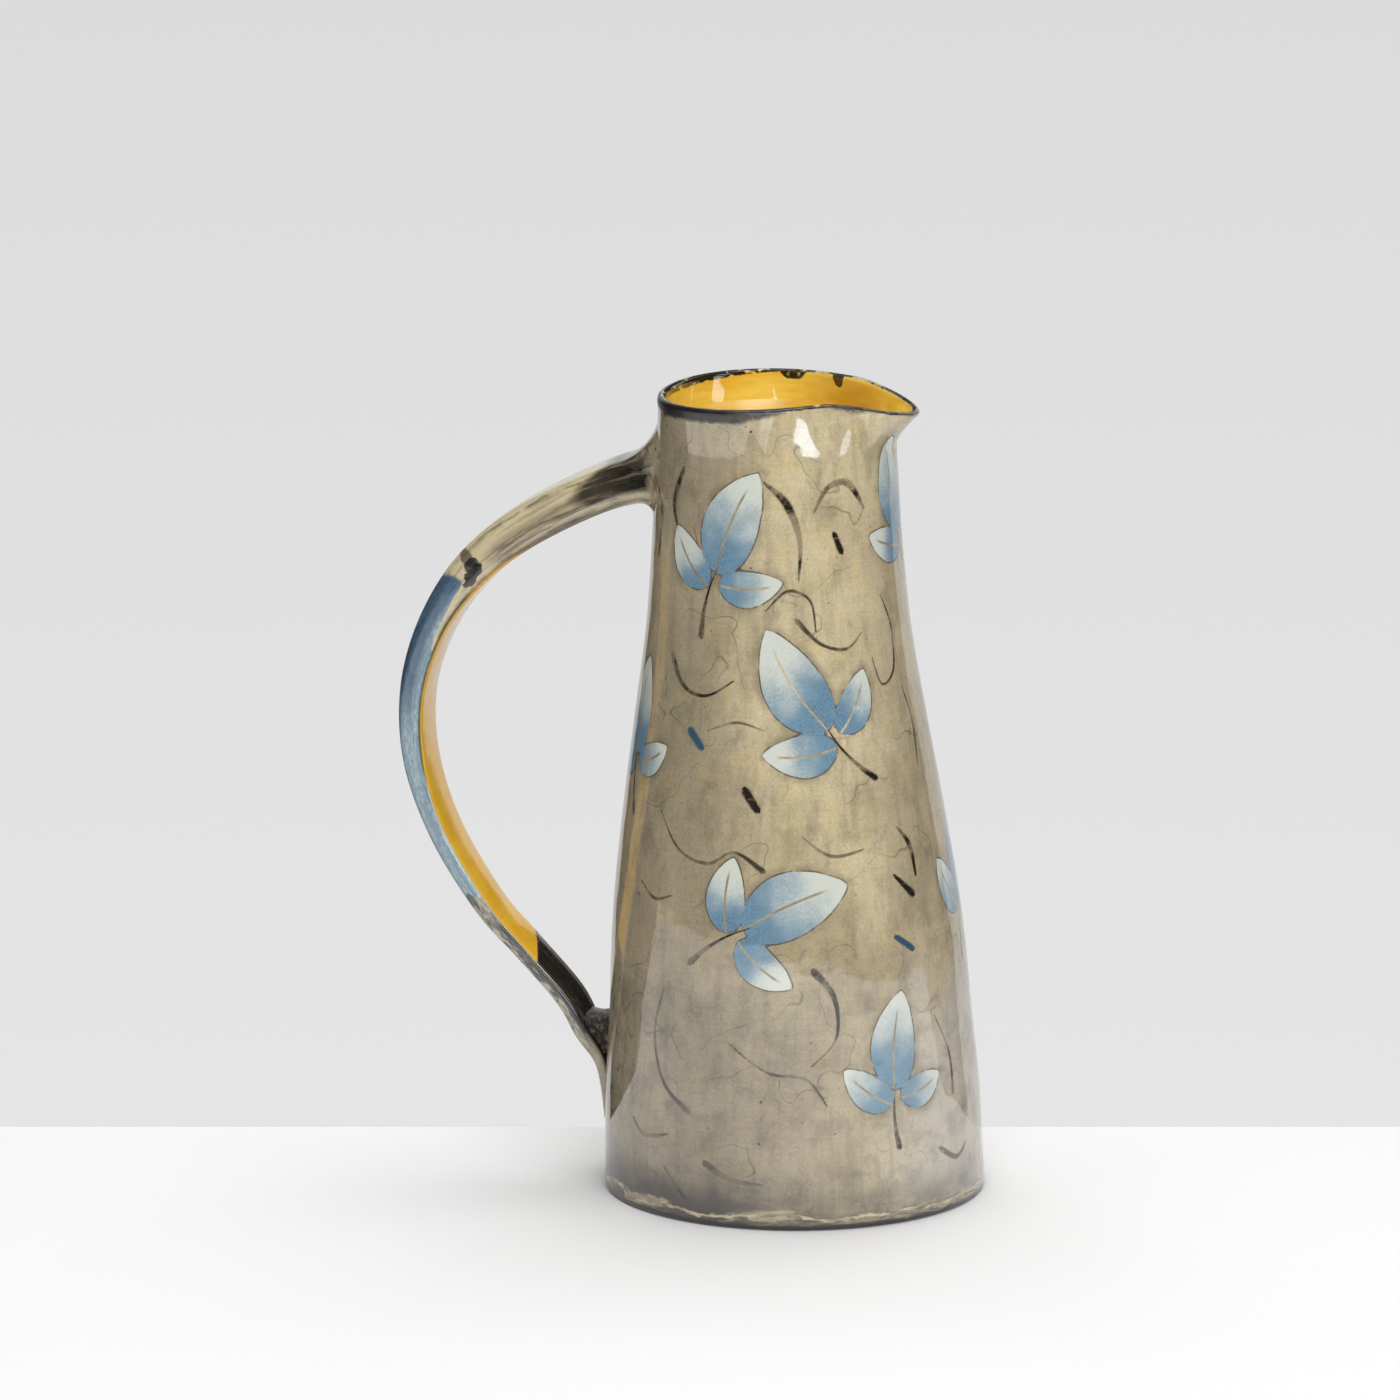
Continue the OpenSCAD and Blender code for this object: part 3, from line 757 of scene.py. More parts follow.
class Glaze(NodeMaker):
    """A material on a piece, whose patterns are laid out in mm."""

    def __init__(self, name):
        self.material = bpy.data.materials.new(name)
        self.material.use_nodes = True
        super().__init__(self.material.node_tree)
        self.place = self.scaled(self.node("TexCoord", {})["Object"], 1 / MM)
        self.x, self.y, self.z = self.parts(self.place)

    def vector(self, operation, a, b):
        return self.node("VectorMath", {0: a, 1: b}, operation=operation)[0]

    def scaled(self, a, scale):
        return self.node("VectorMath", {0: a, "Scale": scale}, operation="SCALE")[0]

    def parts(self, vector):
        outputs = self.node("SeparateXYZ", {0: vector})
        return [outputs[k] for k in range(3)]

    def field(self, name):
        return self.parts(self.node("Attribute", {}, attribute_name=name)["Vector"])

    def noise(self, size, detail=3, roughness=0.5, stretch=(1, 1, 1), seed=0.0, at=None):
        """Noise between 0 and 1 with features of that size in mm, drawn out by the stretch."""
        squeezed = self.vector("MULTIPLY", at or self.place, [1 / (size * s) for s in stretch])
        moved = self.vector("ADD", squeezed, (seed, seed * 0.7, -seed))
        inputs = {"Vector": moved, "Scale": 1, "Detail": detail, "Roughness": roughness}
        return self.node("TexNoise", inputs)["Fac"]

    def clouds(self, low, high, *noise, **more):
        """0 where that noise is at low and 1 where it is at high."""
        return self.step(self.noise(*noise, **more), low, high)

    def wobble(self, reach, *noise, **more):
        """That noise about 0, as far as half the reach either way."""
        return (self.noise(*noise, **more) - 0.5) * reach

    def specks(self, spacing, radius, share, seed=0.0):
        """Dots scattered at that spacing, of up to that radius in mm; only a share of them show."""
        at = self.vector("ADD", self.scaled(self.place, 1 / spacing), (seed,) * 3)
        cells = self.node("TexVoronoi", {"Vector": at, "Scale": 1})
        chance, growth, _ = self.parts(cells["Color"])
        size = growth * (radius / spacing)
        dot = self.step(cells["Distance"], size + SPECK_EDGE / spacing, size)
        return self.math("LESS_THAN", chance, share) * dot

    def step(self, value, low, high):
        """0 at low and 1 at high, smoothly; low may lie above high."""
        inputs = {"Value": value, "From Min": low, "From Max": high}
        return self.node("MapRange", inputs, interpolation_type="SMOOTHSTEP")["Result"]

    def lay(self, colour, shade, share, strength):
        """A shade laid over the colour by a share times a strength."""
        return self.mix(share * strength, colour, shade)

    def tint(self, colour, share, shade):
        """The colour times a shade, by a share."""
        return self.mix(share, colour, shade, "MULTIPLY")

    def relief(self, height, distance):
        """Bump of a height field, whose 0 to 1 stands for that distance in mm."""
        return self.node("Bump", {"Strength": 1, "Distance": distance * MM, "Height": height})["Normal"]

    def finish(self, colour, roughness, normal):
        shader = self.tree.nodes["Principled BSDF"]
        inputs = {"Base Color": colour, "Roughness": roughness, "Normal": normal, "IOR": GLAZE_IOR}
        for socket, value in inputs.items():
            self.put(shader.inputs[socket], value)
        return self.material


def aside(g):
    """Distance to the right of the axis, as the jug is seen with its handle at the left."""
    return g.x * VIEW_SIDE_X + g.y * VIEW_SIDE_Y


# Clouds in the khaki, one over the other: shade, strength, the noise at which they start and are full,
# then the noise's size, detail, roughness, stretch and seed
GROUND_CLOUDS = [
    (KHAKI_GREEN, 0.5, 0.48, 0.68, 19, 4, 0.6, (1, 1, 1.3), 18),
    (KHAKI_DARK, 0.54, 0.5, 0.72, 11, 5, 0.66, (1, 1, 1.7), 7),
    (KHAKI_DARK, 0.3, 0.48, 0.7, 4, 4, 0.62, (1, 1, 10), 14),
    (KHAKI_DARK, 0.3, 0.56, 0.7, 3.4, 5, 0.7, (1, 1, 1.2), 24),
    (KHAKI_WARM, 0.45, 0.52, 0.7, 8, 4, 0.65, (1, 1, 1), 29),
]


def khaki_ground(g):
    """The khaki glaze: clouds of other khakis, brush drag up the wall and throwing lines round it, fine
    hair lines, a grain, darker glaze toward both sides as seen that is deepened there as painted
    shade, a darker tone low down and more so toward the left, a lilac grey low on the right that is a
    painted reflection, and two sizes of specks."""
    cloud = g.clouds(0.36, 0.64, 30, 4, 0.6, (1, 1, 1.5))
    colour = g.mix(cloud, KHAKI, KHAKI_LIGHT)
    for shade, strength, *clouds in GROUND_CLOUDS:
        colour = g.lay(colour, shade, g.clouds(*clouds), strength)
    drag = g.clouds(0.36, 0.64, 1.4, 3, 0.6, (1, 1, 4), 3)
    colour = g.tint(colour, 0.08, g.mix(drag, DRAG_TINT, WHITE))
    thrown = g.clouds(0.4, 0.66, 0.9, 3, 0.6, (14, 14, 1), 19)
    colour = g.tint(colour, 0.09, g.mix(thrown, WHITE, THROWN_TINT))
    hair = g.step(abs(g.noise(26, 2, 0.45, seed=32) - 0.5), 0.0045, 0.0015)
    hair = hair * g.clouds(0.42, 0.56, 12, 2, 0.5, seed=34)
    colour = g.lay(colour, BROWN_STAIN, hair, 0.4)
    grain = g.clouds(0.34, 0.66, 0.55, 3, 0.65, seed=9)
    colour = g.tint(colour, 0.3, g.mix(grain, GRAIN_TINT, WHITE))
    low = g.step(g.z + g.noise(30, 3, 0.5, seed=16) * 46, 150, 70)
    # Painted shade: darker toward both sides as the jug is seen, over a darker glaze there.
    side = abs(aside(g) - 7)
    dullness_and_shade = g.step(side + g.noise(22, 3, 0.55, (1, 1, 2), 26) * 16, 18, 46)
    dullness_and_shade = dullness_and_shade * (1.0 - low * 0.8)
    colour = g.tint(colour, dullness_and_shade * 0.92, SHADE_AND_TONE_TINT)
    colour = g.tint(colour, low * g.step(aside(g), 60, -10), SHADE_AND_TONE_TINT)
    # Painted reflection: a pale lilac grey laid low on the right of the wall as the jug is seen.
    painted_reflection = g.step(aside(g), 18, 46) * g.step(g.z + cloud * 14, 92, 62)
    colour = g.lay(colour, REFLECTION_GREY, painted_reflection, 0.45)
    drift = g.clouds(0.46, 0.62, 9, 5, 0.68, (1.3, 1.3, 1), 28)
    colour = g.tint(colour, low * drift * 0.5, SHADE_AND_TONE_TINT)
    colour = g.lay(colour, BROWN_STAIN, g.specks(7, 0.5, 0.35), 0.9)
    return g.lay(colour, BROWN_STAIN, g.specks(2.6, 0.34, 0.16, 4), 0.5)


def foot_glaze(g, colour):
    """Near the foot: smoke that thickens toward the handle, sooty lobes, a thin pale torn band with a
    paler line in it, brown streaks under it, and a dark stained band at the edge that is deepened as
    painted shade where the foot meets the table."""
    wave = g.noise(15, 3, 0.6, (1, 1, 2), 2)
    patches = g.clouds(0.3, 0.6, 24, 3, 0.55, (1, 1, 0.7), 12)
    left = g.step(aside(g) + wave * 20, 14, -16)
    smoke = g.step(g.z + wave * 18, 31, 15) * (0.1 + patches * 0.16)
    colour = g.mix(smoke * (1.0 + left * 2.1), colour, GREY_SMOKE)
    soot = g.step(g.z + wave * 9, 20, 11) * (0.6 + left * 0.75)
    lobes = g.clouds(0.4, 0.56, 17, 4, 0.6, (1, 1, 0.5), 42)
    colour = g.mix(soot * (0.14 + lobes * 0.42), colour, GREY_SMOKE)
    low = g.z + (wave - 0.5) * 7
    torn = g.wobble(3, 2.2, 5, 0.7, (2.6, 2.6, 0.8), 8)
    middle = abs(low + torn - 3.9)
    band = g.step(middle, 2.2, 1.2) * g.clouds(0.44, 0.56, 22, 4, 0.6, (1, 1, 0.5), 6)
    line = g.step(middle, 0.62, 0.3) * g.clouds(0.36, 0.46, 6, 4, 0.6, (2, 2, 0.6), 44)
    colour = g.mix(g.either(band * 0.55, line * 0.85), colour, THIN_CREAM)
    streaky = g.clouds(0.46, 0.58, 0.9, 4, 0.65, (7, 7, 1), 47)
    colour = g.lay(colour, BROWN_STAIN, streaky * g.step(low, 6.6, 2.6), 0.75)
    # A dark stained edge at the foot, made darker than its own colour as painted shade at the table.
    stain_and_shade = g.step(g.z + torn * 0.7, 2.4, 1.3)
    return g.lay(colour, FOOT_STAIN_AND_SHADE, stain_and_shade, 0.96)


def glaze_relief(g):
    """Slow ripples in the glaze with a faint grain."""
    ripple = g.noise(16, 2, 0.4, seed=21)
    grain = g.noise(1.3, 2, 0.5, seed=22)
    return g.relief(ripple + grain * 0.02, 0.35)


def leaves_over(g, colour):
    """Leaves in a blue wash that pales toward the tip: each has a midrib left bare, a broken brown
    outline and a brown halo."""
    inside, along, across = g.field("leaf")
    inside = inside + g.wobble(0.55, 5, 3, 0.6, seed=31)
    halo = g.step(inside, -3.2, -0.2) * g.clouds(0.35, 0.65, 9, 3, 0.6, seed=33)
    colour = g.lay(colour, HALO_BROWN, halo, 0.62)
    grain = g.clouds(0.34, 0.66, 0.6, 3, 0.7, seed=37)
    wash = along + g.wobble(0.8, 12, 2, 0.5, seed=35)
    wash = wash + (grain - 0.5) * 0.16
    blue = g.mix(grain, BLUE_MID, BLUE_DEEP)
    blue = g.lay(blue, BLUE_MID, g.clouds(0.35, 0.65, 7, 3, 0.6, seed=39), 0.6)
    leaf = g.mix(g.step(wash, 0.2, 0.85), blue, BLUE_PALE)
    leaf = g.lay(leaf, BLUE_DEEP, g.specks(1.9, 0.22, 0.2, 3), 0.4)
    rib = g.step(abs(across), 0.5, 0.22) * g.step(along, 0.86, 0.7)
    painted = g.step(inside, -0.08, 0.08) * (1.0 - rib)
    colour = g.mix(painted, colour, leaf)
    edge = g.step(abs(inside + 0.12), 0.36, 0.08)
    edge = edge * g.clouds(0.3, 0.56, 4, 3, 0.6, seed=41)
    return g.lay(colour, BROWN_STAIN, edge, 0.85)


def strokes_over(g, colour):
    """Brush strokes: bristle marks in ink that thins to brown, or in navy for the blue dashes."""
    side, beyond, ink = g.field("stroke")
    fuzzy = g.wobble(0.9, 0.7, 3, 0.7, seed=46)
    mark = g.step(abs(side) + fuzzy, 1.6, 0.7) * g.step(beyond, 0.6, 0.2)
    blue_mark = g.step(ink, 1.5, 2)
    strength = g.math("MINIMUM", (ink - blue_mark * 2) * 1.3, 1.0)
    thin = 0.5 + g.clouds(0.36, 0.6, 8, 3, 0.6, seed=45) * 0.5
    strength = strength * g.either(thin, g.step(ink, 0.9, 1.0))
    strength = strength * g.clouds(0.02, 0.44, 0.9, 3, 0.6, (3, 3, 1), 43)
    black = g.mix(g.step(strength, 0.5, 0.9), BROWN_STAIN, INK)
    return g.mix(mark * strength, colour, g.mix(blue_mark, black, NAVY))


def rim_black(g, rim, ragged, lip):
    """Black of the rim: a line that thins on the lip, a smear below it, patches on top and drips inside.
    Gives all the black, and the smear."""
    over, smudge, band = rim
    fine = g.wobble(0.7, 0.9, 3, 0.6, seed=52)
    thinner = lip * 0.34
    line = abs(over + 1.25 + ragged * 0.22)
    line = g.step(line, 0.85 - thinner, 0.5 - thinner)
    line = line * g.step(g.noise(5, 4, 0.6, seed=56) + lip * -0.12, 0.24, 0.34)
    low_edge = -1.2 - smudge
    smear = g.step(over + (ragged + fine), low_edge - 0.7, low_edge + 0.9)
    smear = smear * g.step(over, 0.2, -0.5) * g.step(smudge, 0.2, 0.8)
    top = g.step(over + fine, band + 0.7, band + 0.2)
    top = g.step(over, -1.4, -0.8) * top * g.clouds(0.4, 0.46, 5.5, 3, 0.6, (1, 1, 0.5), 53)
    drips = g.step(over + fine * 0.4, band + 0.25, band - 0.1)
    drips = g.step(over, -0.2, 0.3) * drips * g.step(band, 3.0, 3.4)
    return g.either(g.either(line, smear), g.either(top, drips)), smear


def wall_glaze():
    """Khaki glaze with leaves and brush strokes, thinning to ochre at the rim, where the yellow of the
    inside meets the black."""
    g = Glaze("khaki_glaze")
    colour = strokes_over(g, leaves_over(g, foot_glaze(g, khaki_ground(g))))
    rim = g.field("rim")
    over, lip = rim[0], g.step(g.x, -24, 4)
    ochre = g.step(over, -0.6, 0.2) * g.clouds(0.42, 0.58, 5, 3, 0.6, seed=54)
    colour = g.lay(colour, OCHRE, ochre, 0.7)
    ragged = g.wobble(3.0, 3.2, 4, 0.62, seed=51)
    colour = g.mix(g.step(over + ragged * 0.3, 0.9, 1.5), colour, yellow_colour(g))
    black, smear = rim_black(g, rim, ragged, lip)
    ink = g.mix(g.clouds(0.5, 0.66, 7, 2, 0.5, seed=57), RIM_BLACK, RIM_BLUE)
    ink = g.mix(lip * g.clouds(0.42, 0.58, 3, 3, 0.6, seed=58), ink, BROWN_STAIN)
    colour = g.lay(colour, ink, black, 0.97)
    return g.finish(colour, 0.055 + smear * 0.3, glaze_relief(g))


def base_glaze():
    """Khaki glaze on the side, raw clay underneath."""
    g = Glaze("foot_glaze")
    glazed = g.step(g.z + g.noise(1.5, 3, 0.6, seed=61) * 0.5, 0.2, 0.35)
    clay = g.mix(g.clouds(0.3, 0.7, 2, 4, 0.6, seed=63), CLAY, CLAY_DARK)
    colour = g.mix(glazed, clay, foot_glaze(g, khaki_ground(g)))
    return g.finish(colour, 0.75 - glazed * 0.69, glaze_relief(g))


def yellow_colour(g):
    """Yellow glaze, pooled deeper in slow streaks round the pot."""
    pooled = g.clouds(0.35, 0.7, 14, 3, 0.5, (1.6, 1.6, 0.5), 71)
    streak = g.clouds(0.3, 0.7, 1.2, 3, 0.6, (8, 8, 1), 73)
    return g.tint(g.mix(pooled, YELLOW, YELLOW_DEEP), 0.25, g.mix(streak, YELLOW_TINT, WHITE))


def lining_glaze():
    """Yellow glaze, shiny near the rim and duller down the inside."""
    g = Glaze("yellow_glaze")
    dullness_and_shade = g.step(g.z, HEIGHT - 5, HEIGHT - 8)
    relief = g.relief(g.noise(9, 2, 0.4, seed=75), 0.25)
    return g.finish(yellow_colour(g), 0.07 + dullness_and_shade * 0.26, relief)


class StrapPlaces:
    """Where a finish lies on the strap: the length along it from the upper root, the share across it and
    the share outward, with noises that run along it."""

    def __init__(self, g):
        self.g = g
        self.along, self.across, self.out = g.field("strap")
        drawn = {0: self.along, 1: self.across * 12, 2: self.out * 6}
        self.place = g.node("CombineXYZ", drawn)[0]
        self.brush = g.noise(1.6, 5, 0.7, (14, 1, 1), 81, self.place)
        self.coarse = g.noise(5, 3, 0.6, (3, 1, 1), 83, self.place)
        self.ragged = g.wobble(4, 3, 4, 0.65, seed=85, at=self.place)
        self.slow = g.wobble(10, 9, 2, 0.5, seed=87, at=self.place)
        self.near = g.step(self.across, 0.3, -0.5)

    def part(self, start, full, torn=1):
        """0 at one length along the strap and 1 at the other, with an edge as torn as that."""
        return self.g.step(self.along + self.ragged * torn, start, full)

    def outward(self, start, full, torn):
        """The same from one share outward to the other."""
        return self.g.step(self.out + self.ragged * torn, start, full)

    def beside(self, middle, waver=0):
        """Distance outward from a line along the strap, which wavers slowly."""
        return abs(self.out + self.slow * waver + middle)


def cream_part(g, s):
    """Cream and khaki strokes; on the near side an orange edge, an olive lower half, a ridge and dark
    streaks."""
    colour = g.mix(g.step(s.coarse, 0.35, 0.65), KHAKI, CREAM)
    colour = g.lay(colour, STROKE_BROWN, g.step(s.brush, 0.5, 0.66), 0.6)
    orange = g.step(s.beside(0.86), 0.12, 0.04) * s.part(38, 44)
    lower_half = s.outward(0.25, -0.35, 0.06)
    olive = lower_half * s.part(62, 50)
    ridge = g.step(s.beside(-0.1, 0.02), 0.3, 0.05) * s.part(58, 46)
    streaks = g.step(s.brush, 0.42, 0.56) * (s.part(4, 12) * s.part(60, 48))
    layers = [
        (ORANGE, orange, 0.8), (OLIVE, olive, 0.55), (RIDGE_BROWN, ridge, 0.45),
        (STREAK_BROWN, streaks * lower_half, 0.8),
    ]
    for shade, share, strength in layers:
        colour = g.lay(colour, shade, share * s.near, strength)
    return colour


def black_patch(g, s, colour):
    """A black brushed patch at the upper root, and a broken brown line along the outer edge."""
    wide = s.outward(-0.6, -0.25, 0.08) * g.step(s.across, 0.75, 0.4)
    off_middle = s.out - 0.1
    end = s.along + s.ragged + off_middle * off_middle * 14
    patch = s.part(-9, -5, 0.4) * g.step(end, 27, 21) * wide
    dry = 0.75 + g.step(s.brush, 0.36, 0.56) * 0.25
    colour = g.mix(patch * dry, colour, g.mix(s.part(16, 2, 2), PATCH_BROWN, PATCH_BLACK))
    line = g.step(s.beside(-0.78, 0.03), 0.07, 0.02) * s.part(60, 52) * s.near
    line = line * g.clouds(0.36, 0.5, 7, 3, 0.6, seed=90, at=s.place)
    return g.lay(colour, BROWN_STAIN, line, 0.55)


def blue_part(g, s, colour):
    """The blue middle length: deep in its upper outer part, and pale and grainy below."""
    cream_edge = g.step(s.out + s.slow * 0.03, -0.1, -0.75) * s.near
    start = 66.5 + cream_edge * 24 + g.step(s.out, 0.3, 1) * 2.5
    span = g.step(s.along + s.slow * 0.25, start, start + 1.8)
    span = span * s.part(175.5, 173.5, 0.5)
    deep = g.step(s.along + s.slow, 124, 104) * s.outward(-0.55, 0.05, 0.08)
    granules = g.clouds(0.36, 0.64, 0.9, 4, 0.7, (2, 1, 1), 88, s.place)
    pale_blue = g.mix(granules, PALE_BLUE, PALE_BLUE_LIGHT)
    pale_blue = g.lay(pale_blue, PALE_BLUE_DARK, g.step(s.brush, 0.45, 0.62), 0.7)
    deep_blue = g.mix(g.step(s.brush, 0.35, 0.65), DEEP_BLUE, DEEP_BLUE_LIGHT)
    deep_blue = g.lay(deep_blue, DEEP_BLUE_GRAIN, granules, 0.35)
    return g.mix(span, colour, g.mix(deep, pale_blue, deep_blue))


def low_part(g, s, colour):
    """The blotched grey lower length, whose tail turns into the wall's khaki."""
    blotch = g.clouds(0.4, 0.6, 3.6, 4, 0.66, (1.6, 1, 1), 82, s.place)
    grey = g.mix(blotch, LOW_DARK, LOW_LIGHT)
    dark_low = g.step(s.out + (s.brush - 0.5) * 1.6, 0.15, -0.45)
    grey = g.lay(grey, LOW_BLACK, dark_low, g.step(s.along, 178, 188))
    grey = g.mix(s.part(222, 240, 2), grey, g.mix(0.2, khaki_ground(g), TAIL_CREAM))
    return g.mix(s.part(174, 176, 0.5), colour, grey)


def inner_face(g, s, colour):
    """The face toward the wall: yellow, then black with a worn far edge, and a green seam beside it."""
    inner = s.outward(-0.86, -0.95, 0.015)
    seam = g.step(s.beside(0.84), 0.13, 0.05) * g.step(s.along, 66, 72)
    seam = seam * g.step(s.along, 178, 170) * (s.near * g.step(s.coarse, 0.3, 0.5))
    colour = g.lay(colour, SEAM_GREEN, seam, 0.8)
    end = 197 + s.across * -4
    past_end = end + 1
    yellow = inner * s.part(44, 52, 0.5) * s.part(past_end, end, 0.25)
    colour = g.mix(yellow, colour, g.mix(0.6, yellow_colour(g), YELLOW_STRONG))
    black = inner * s.part(end, past_end, 0.25)
    colour = g.mix(black, colour, g.mix(g.step(s.brush, 0.4, 0.7), INNER_BLACK, INNER_BROWN))
    far = g.step(s.across + s.ragged * 0.04, 0.4, 0.6)
    worn = black * (far * g.step(s.brush, 0.3, 0.5))
    return g.lay(colour, WORN_GREY, worn, 0.7)


# Black dabs on the strap: place and half length along it, middle and half width as shares, strength
STRAP_DABS = [
    (61, 1.8, 0.5, 0.55, 0.7), (61.5, 2.7, 0.1, 0.34, 0.9), (62.5, 3.7, -0.24, 0.32, 0.97),
    (65, 3.2, -0.4, 0.22, 0.95), (174, 2, 0.5, 0.5, 0.75),
]


def dabs_and_edges(g, s, colour):
    """Black oval dabs, a painted highlight as a pale line low on the near side, and worn dark edges above
    it.
    """
    for centre, length, middle, half_width, strength in STRAP_DABS:
        sideways = (s.out + s.ragged * 0.1 - middle) * (1 / half_width)
        lengthways = (s.along + s.ragged * 0.5 - centre) * (1 / length)
        dab = sideways * sideways + lengthways * lengthways
        dab = g.step(dab, 1.25, 0.8) * g.step(s.across, 0.2, -0.3)
        colour = g.lay(colour, DAB_BLACK, dab, strength)
    # Painted highlight: a pale line along the near side's edge, where the rounded edge catches the light.
    line = g.step(s.beside(0.82), 0.08, 0.03) * g.step(s.along, 128, 140)
    line = line * s.part(222, 204, 2) * s.near
    colour = g.lay(colour, HIGHLIGHT_CREAM, line, 0.85)
    edge = g.step(abs(s.across), 0.86, 0.95) * g.step(abs(s.out), 0.5, 0.8)
    edge = edge * g.clouds(0.4, 0.6, 6, 3, 0.6, seed=89, at=s.place)
    return g.lay(colour, BROWN_STAIN, edge * g.step(s.along, 110, 90), 0.5)


def handle_paint(g):
    """The strap's brushed colours, one over the other."""
    s = StrapPlaces(g)
    colour = cream_part(g, s)
    for part in (black_patch, blue_part, low_part, inner_face, dabs_and_edges):
        colour = part(g, s, colour)
    return colour


def handle_glaze():
    """The strap's colours under a glaze that is satin in places."""
    g = Glaze("handle_glaze")
    satin = g.clouds(0.35, 0.7, 2.4, 4, 0.65, seed=86)
    return g.finish(handle_paint(g), 0.07 + satin * 0.16, glaze_relief(g))


def root_glaze():
    """The strap's colours, turning into the wall's khaki where the clay is smoothed out."""
    g = Glaze("root_glaze")
    spread = g.field("spread")[0] + g.wobble(0.5, 4, 3, 0.6, seed=91)
    colour = g.mix(g.step(spread, 0.2, 0.55), handle_paint(g), khaki_ground(g))
    high = g.step(g.z, HANDLE_TOP_Z - 16, HANDLE_TOP_Z - 6)
    smudge = g.clouds(0.5, 0.62, 6, 4, 0.65, seed=93) * high
    return g.finish(g.lay(colour, ROOT_SMUDGE, smudge, 0.6), 0.06, glaze_relief(g))


def web_glaze():
    """Thick dark glaze, rough and pitted, with pale flecks painted as glints."""
    g = Glaze("dark_glaze")
    colour = g.mix(g.clouds(0.46, 0.62, 1.6, 4, 0.7, seed=95), WEB_BLACK, WEB_BROWN)
    # Painted highlights: pale flecks standing for glints on the rough glaze.
    colour = g.mix(g.specks(1.7, 0.5, 0.4, 9), colour, WEB_GLINT)
    pits = g.noise(1.1, 4, 0.7, seed=97)
    return g.finish(colour, 0.2 + pits * 0.3, g.relief(pits, 0.9))


def fired_clay():
    """Raw fired clay with a fine grain."""
    g = Glaze("fired_clay")
    grain = g.noise(1.2, 4, 0.6, seed=99)
    return g.finish(g.mix(g.step(grain, 0.3, 0.7), CLAY, CLAY_DARK), 0.85, g.relief(grain, 0.15))


# Table, camera and light

VIEW_TURN, VIEW_RISE, VIEW_DISTANCE = 12, 12, 2800
# Point that the camera looks at: aside of the axis, and its height
AIM_ASIDE, AIM_Z = -28.6, 149.4
LENS_MM, SENSOR_MM = 240, 36
TABLE_BACK, TABLE_FRONT, TABLE_SIDE, TABLE_T = 66, 1900, 1100, 30
TABLE_WHITE, SCREEN_BLACK = rgb(243, 243, 243), rgb(50, 50, 48)
# Background: greys low and high, the rises between which they change, and the strength of the even fill
GREY_LOW, GREY_HIGH, GREY_START, GREY_END, FILL = rgb(229, 229, 229), rgb(219, 219, 219), -0.25, -0.13, 0.26
# Screens: radius and heights of the one round the room, with the gap left behind the jug, in degrees to
# the left and right; of the one before the strap, with its turns; and the near one behind the strap
ROOM_R, ROOM_LOW, ROOM_HIGH, ROOM_GAP = 4200, -2500, 9000, (27, 48)
ARC_R, ARC_LOW, ARC_HIGH, ARC_TURNS = 400, 102, 185, (-100, -8)
BACK_FROM, BACK_TO, BACK_AWAY, BACK_LOW, BACK_HIGH = -24, 48, 150, -20, 420
DAYLIGHT = (0.74, 0.87, 1.0)
# Lamps: name, turn from the view and rise in degrees, distance, width, height, watts
LIGHTS = [
    ("front_light", 10, 28, 2200, 1800, 1500, 33.4),
    ("overhead_light", 178, 75, 1900, 1900, 1900, 29.6),
]
# Lamps that are only mirrored in the glaze: the same, and the colour
SHINES = [
    ("overhead_glow", 60, 74, 1900, 900, 500, 2.2, (1, 1, 1)),
    ("window_left", 3, 15.2, 2200, 1100, 370, 7.6, DAYLIGHT),
    ("window_right", 28.5, 15.8, 2200, 920, 400, 6.9, DAYLIGHT),
    ("side_window", 68, 13, 2200, 600, 420, 2.4, DAYLIGHT),
    ("skylight", 66, 29, 2200, 520, 260, 2.6, DAYLIGHT),
]


def seen_from(turn, rise):
    """Unit vector toward a viewer at that azimuth and elevation, in degrees."""
    a, e = np.radians(turn), np.radians(rise)
    return np.array([np.sin(a) * np.cos(e), -np.cos(a) * np.cos(e), np.sin(e)])


VIEW_RIGHT = np.array([np.cos(np.radians(VIEW_TURN)), np.sin(np.radians(VIEW_TURN)), 0])
VIEW_AWAY = np.array([-VIEW_RIGHT[1], VIEW_RIGHT[0], 0])


def stage_mesh(name, path, low, high, faces, colour):
    """Stage piece whose corners stand at both heights over a path of (aside, away) points."""
    rim = np.array([right * VIEW_RIGHT + away * VIEW_AWAY for right, away in path])
    corners = np.concatenate([rim + [0, 0, low], rim + [0, 0, high]])
    mesh = bpy.data.meshes.new(name)
    mesh.from_pydata((corners * MM).tolist(), [], faces)
    material = bpy.data.materials.new(name)
    material.use_nodes = True
    shader = material.node_tree.nodes["Principled BSDF"]
    for socket, value in (("Base Color", colour), ("Roughness", 0.9), ("Specular IOR Level", 0.2)):
        shader.inputs[socket].default_value = value
    mesh.materials.append(material)
    item = bpy.data.objects.new(name, mesh)
    bpy.context.scene.collection.objects.link(item)
    return item


def table():
    """A pale table slab that is square to the view, with its back edge close behind the jug."""
    path = [
        (-TABLE_SIDE, -TABLE_FRONT), (TABLE_SIDE, -TABLE_FRONT), (TABLE_SIDE, TABLE_BACK),
        (-TABLE_SIDE, TABLE_BACK),
    ]
    faces = [(0, 1, 2, 3), (7, 6, 5, 4), (0, 4, 5, 1), (1, 5, 6, 2), (2, 6, 7, 3), (3, 7, 4, 0)]
    stage_mesh("table", path, 0, -TABLE_T, faces, TABLE_WHITE)


def hidden_screen(name, path, low, high):
    """A black screen along a path, which only reflections see."""
    n = len(path)
    faces = [(i, i + 1, n + i + 1, n + i) for i in range(n - 1)]
    screen = stage_mesh(name, path, low, high, faces, SCREEN_BLACK)
    screen.visible_camera = screen.visible_diffuse = screen.visible_shadow = False


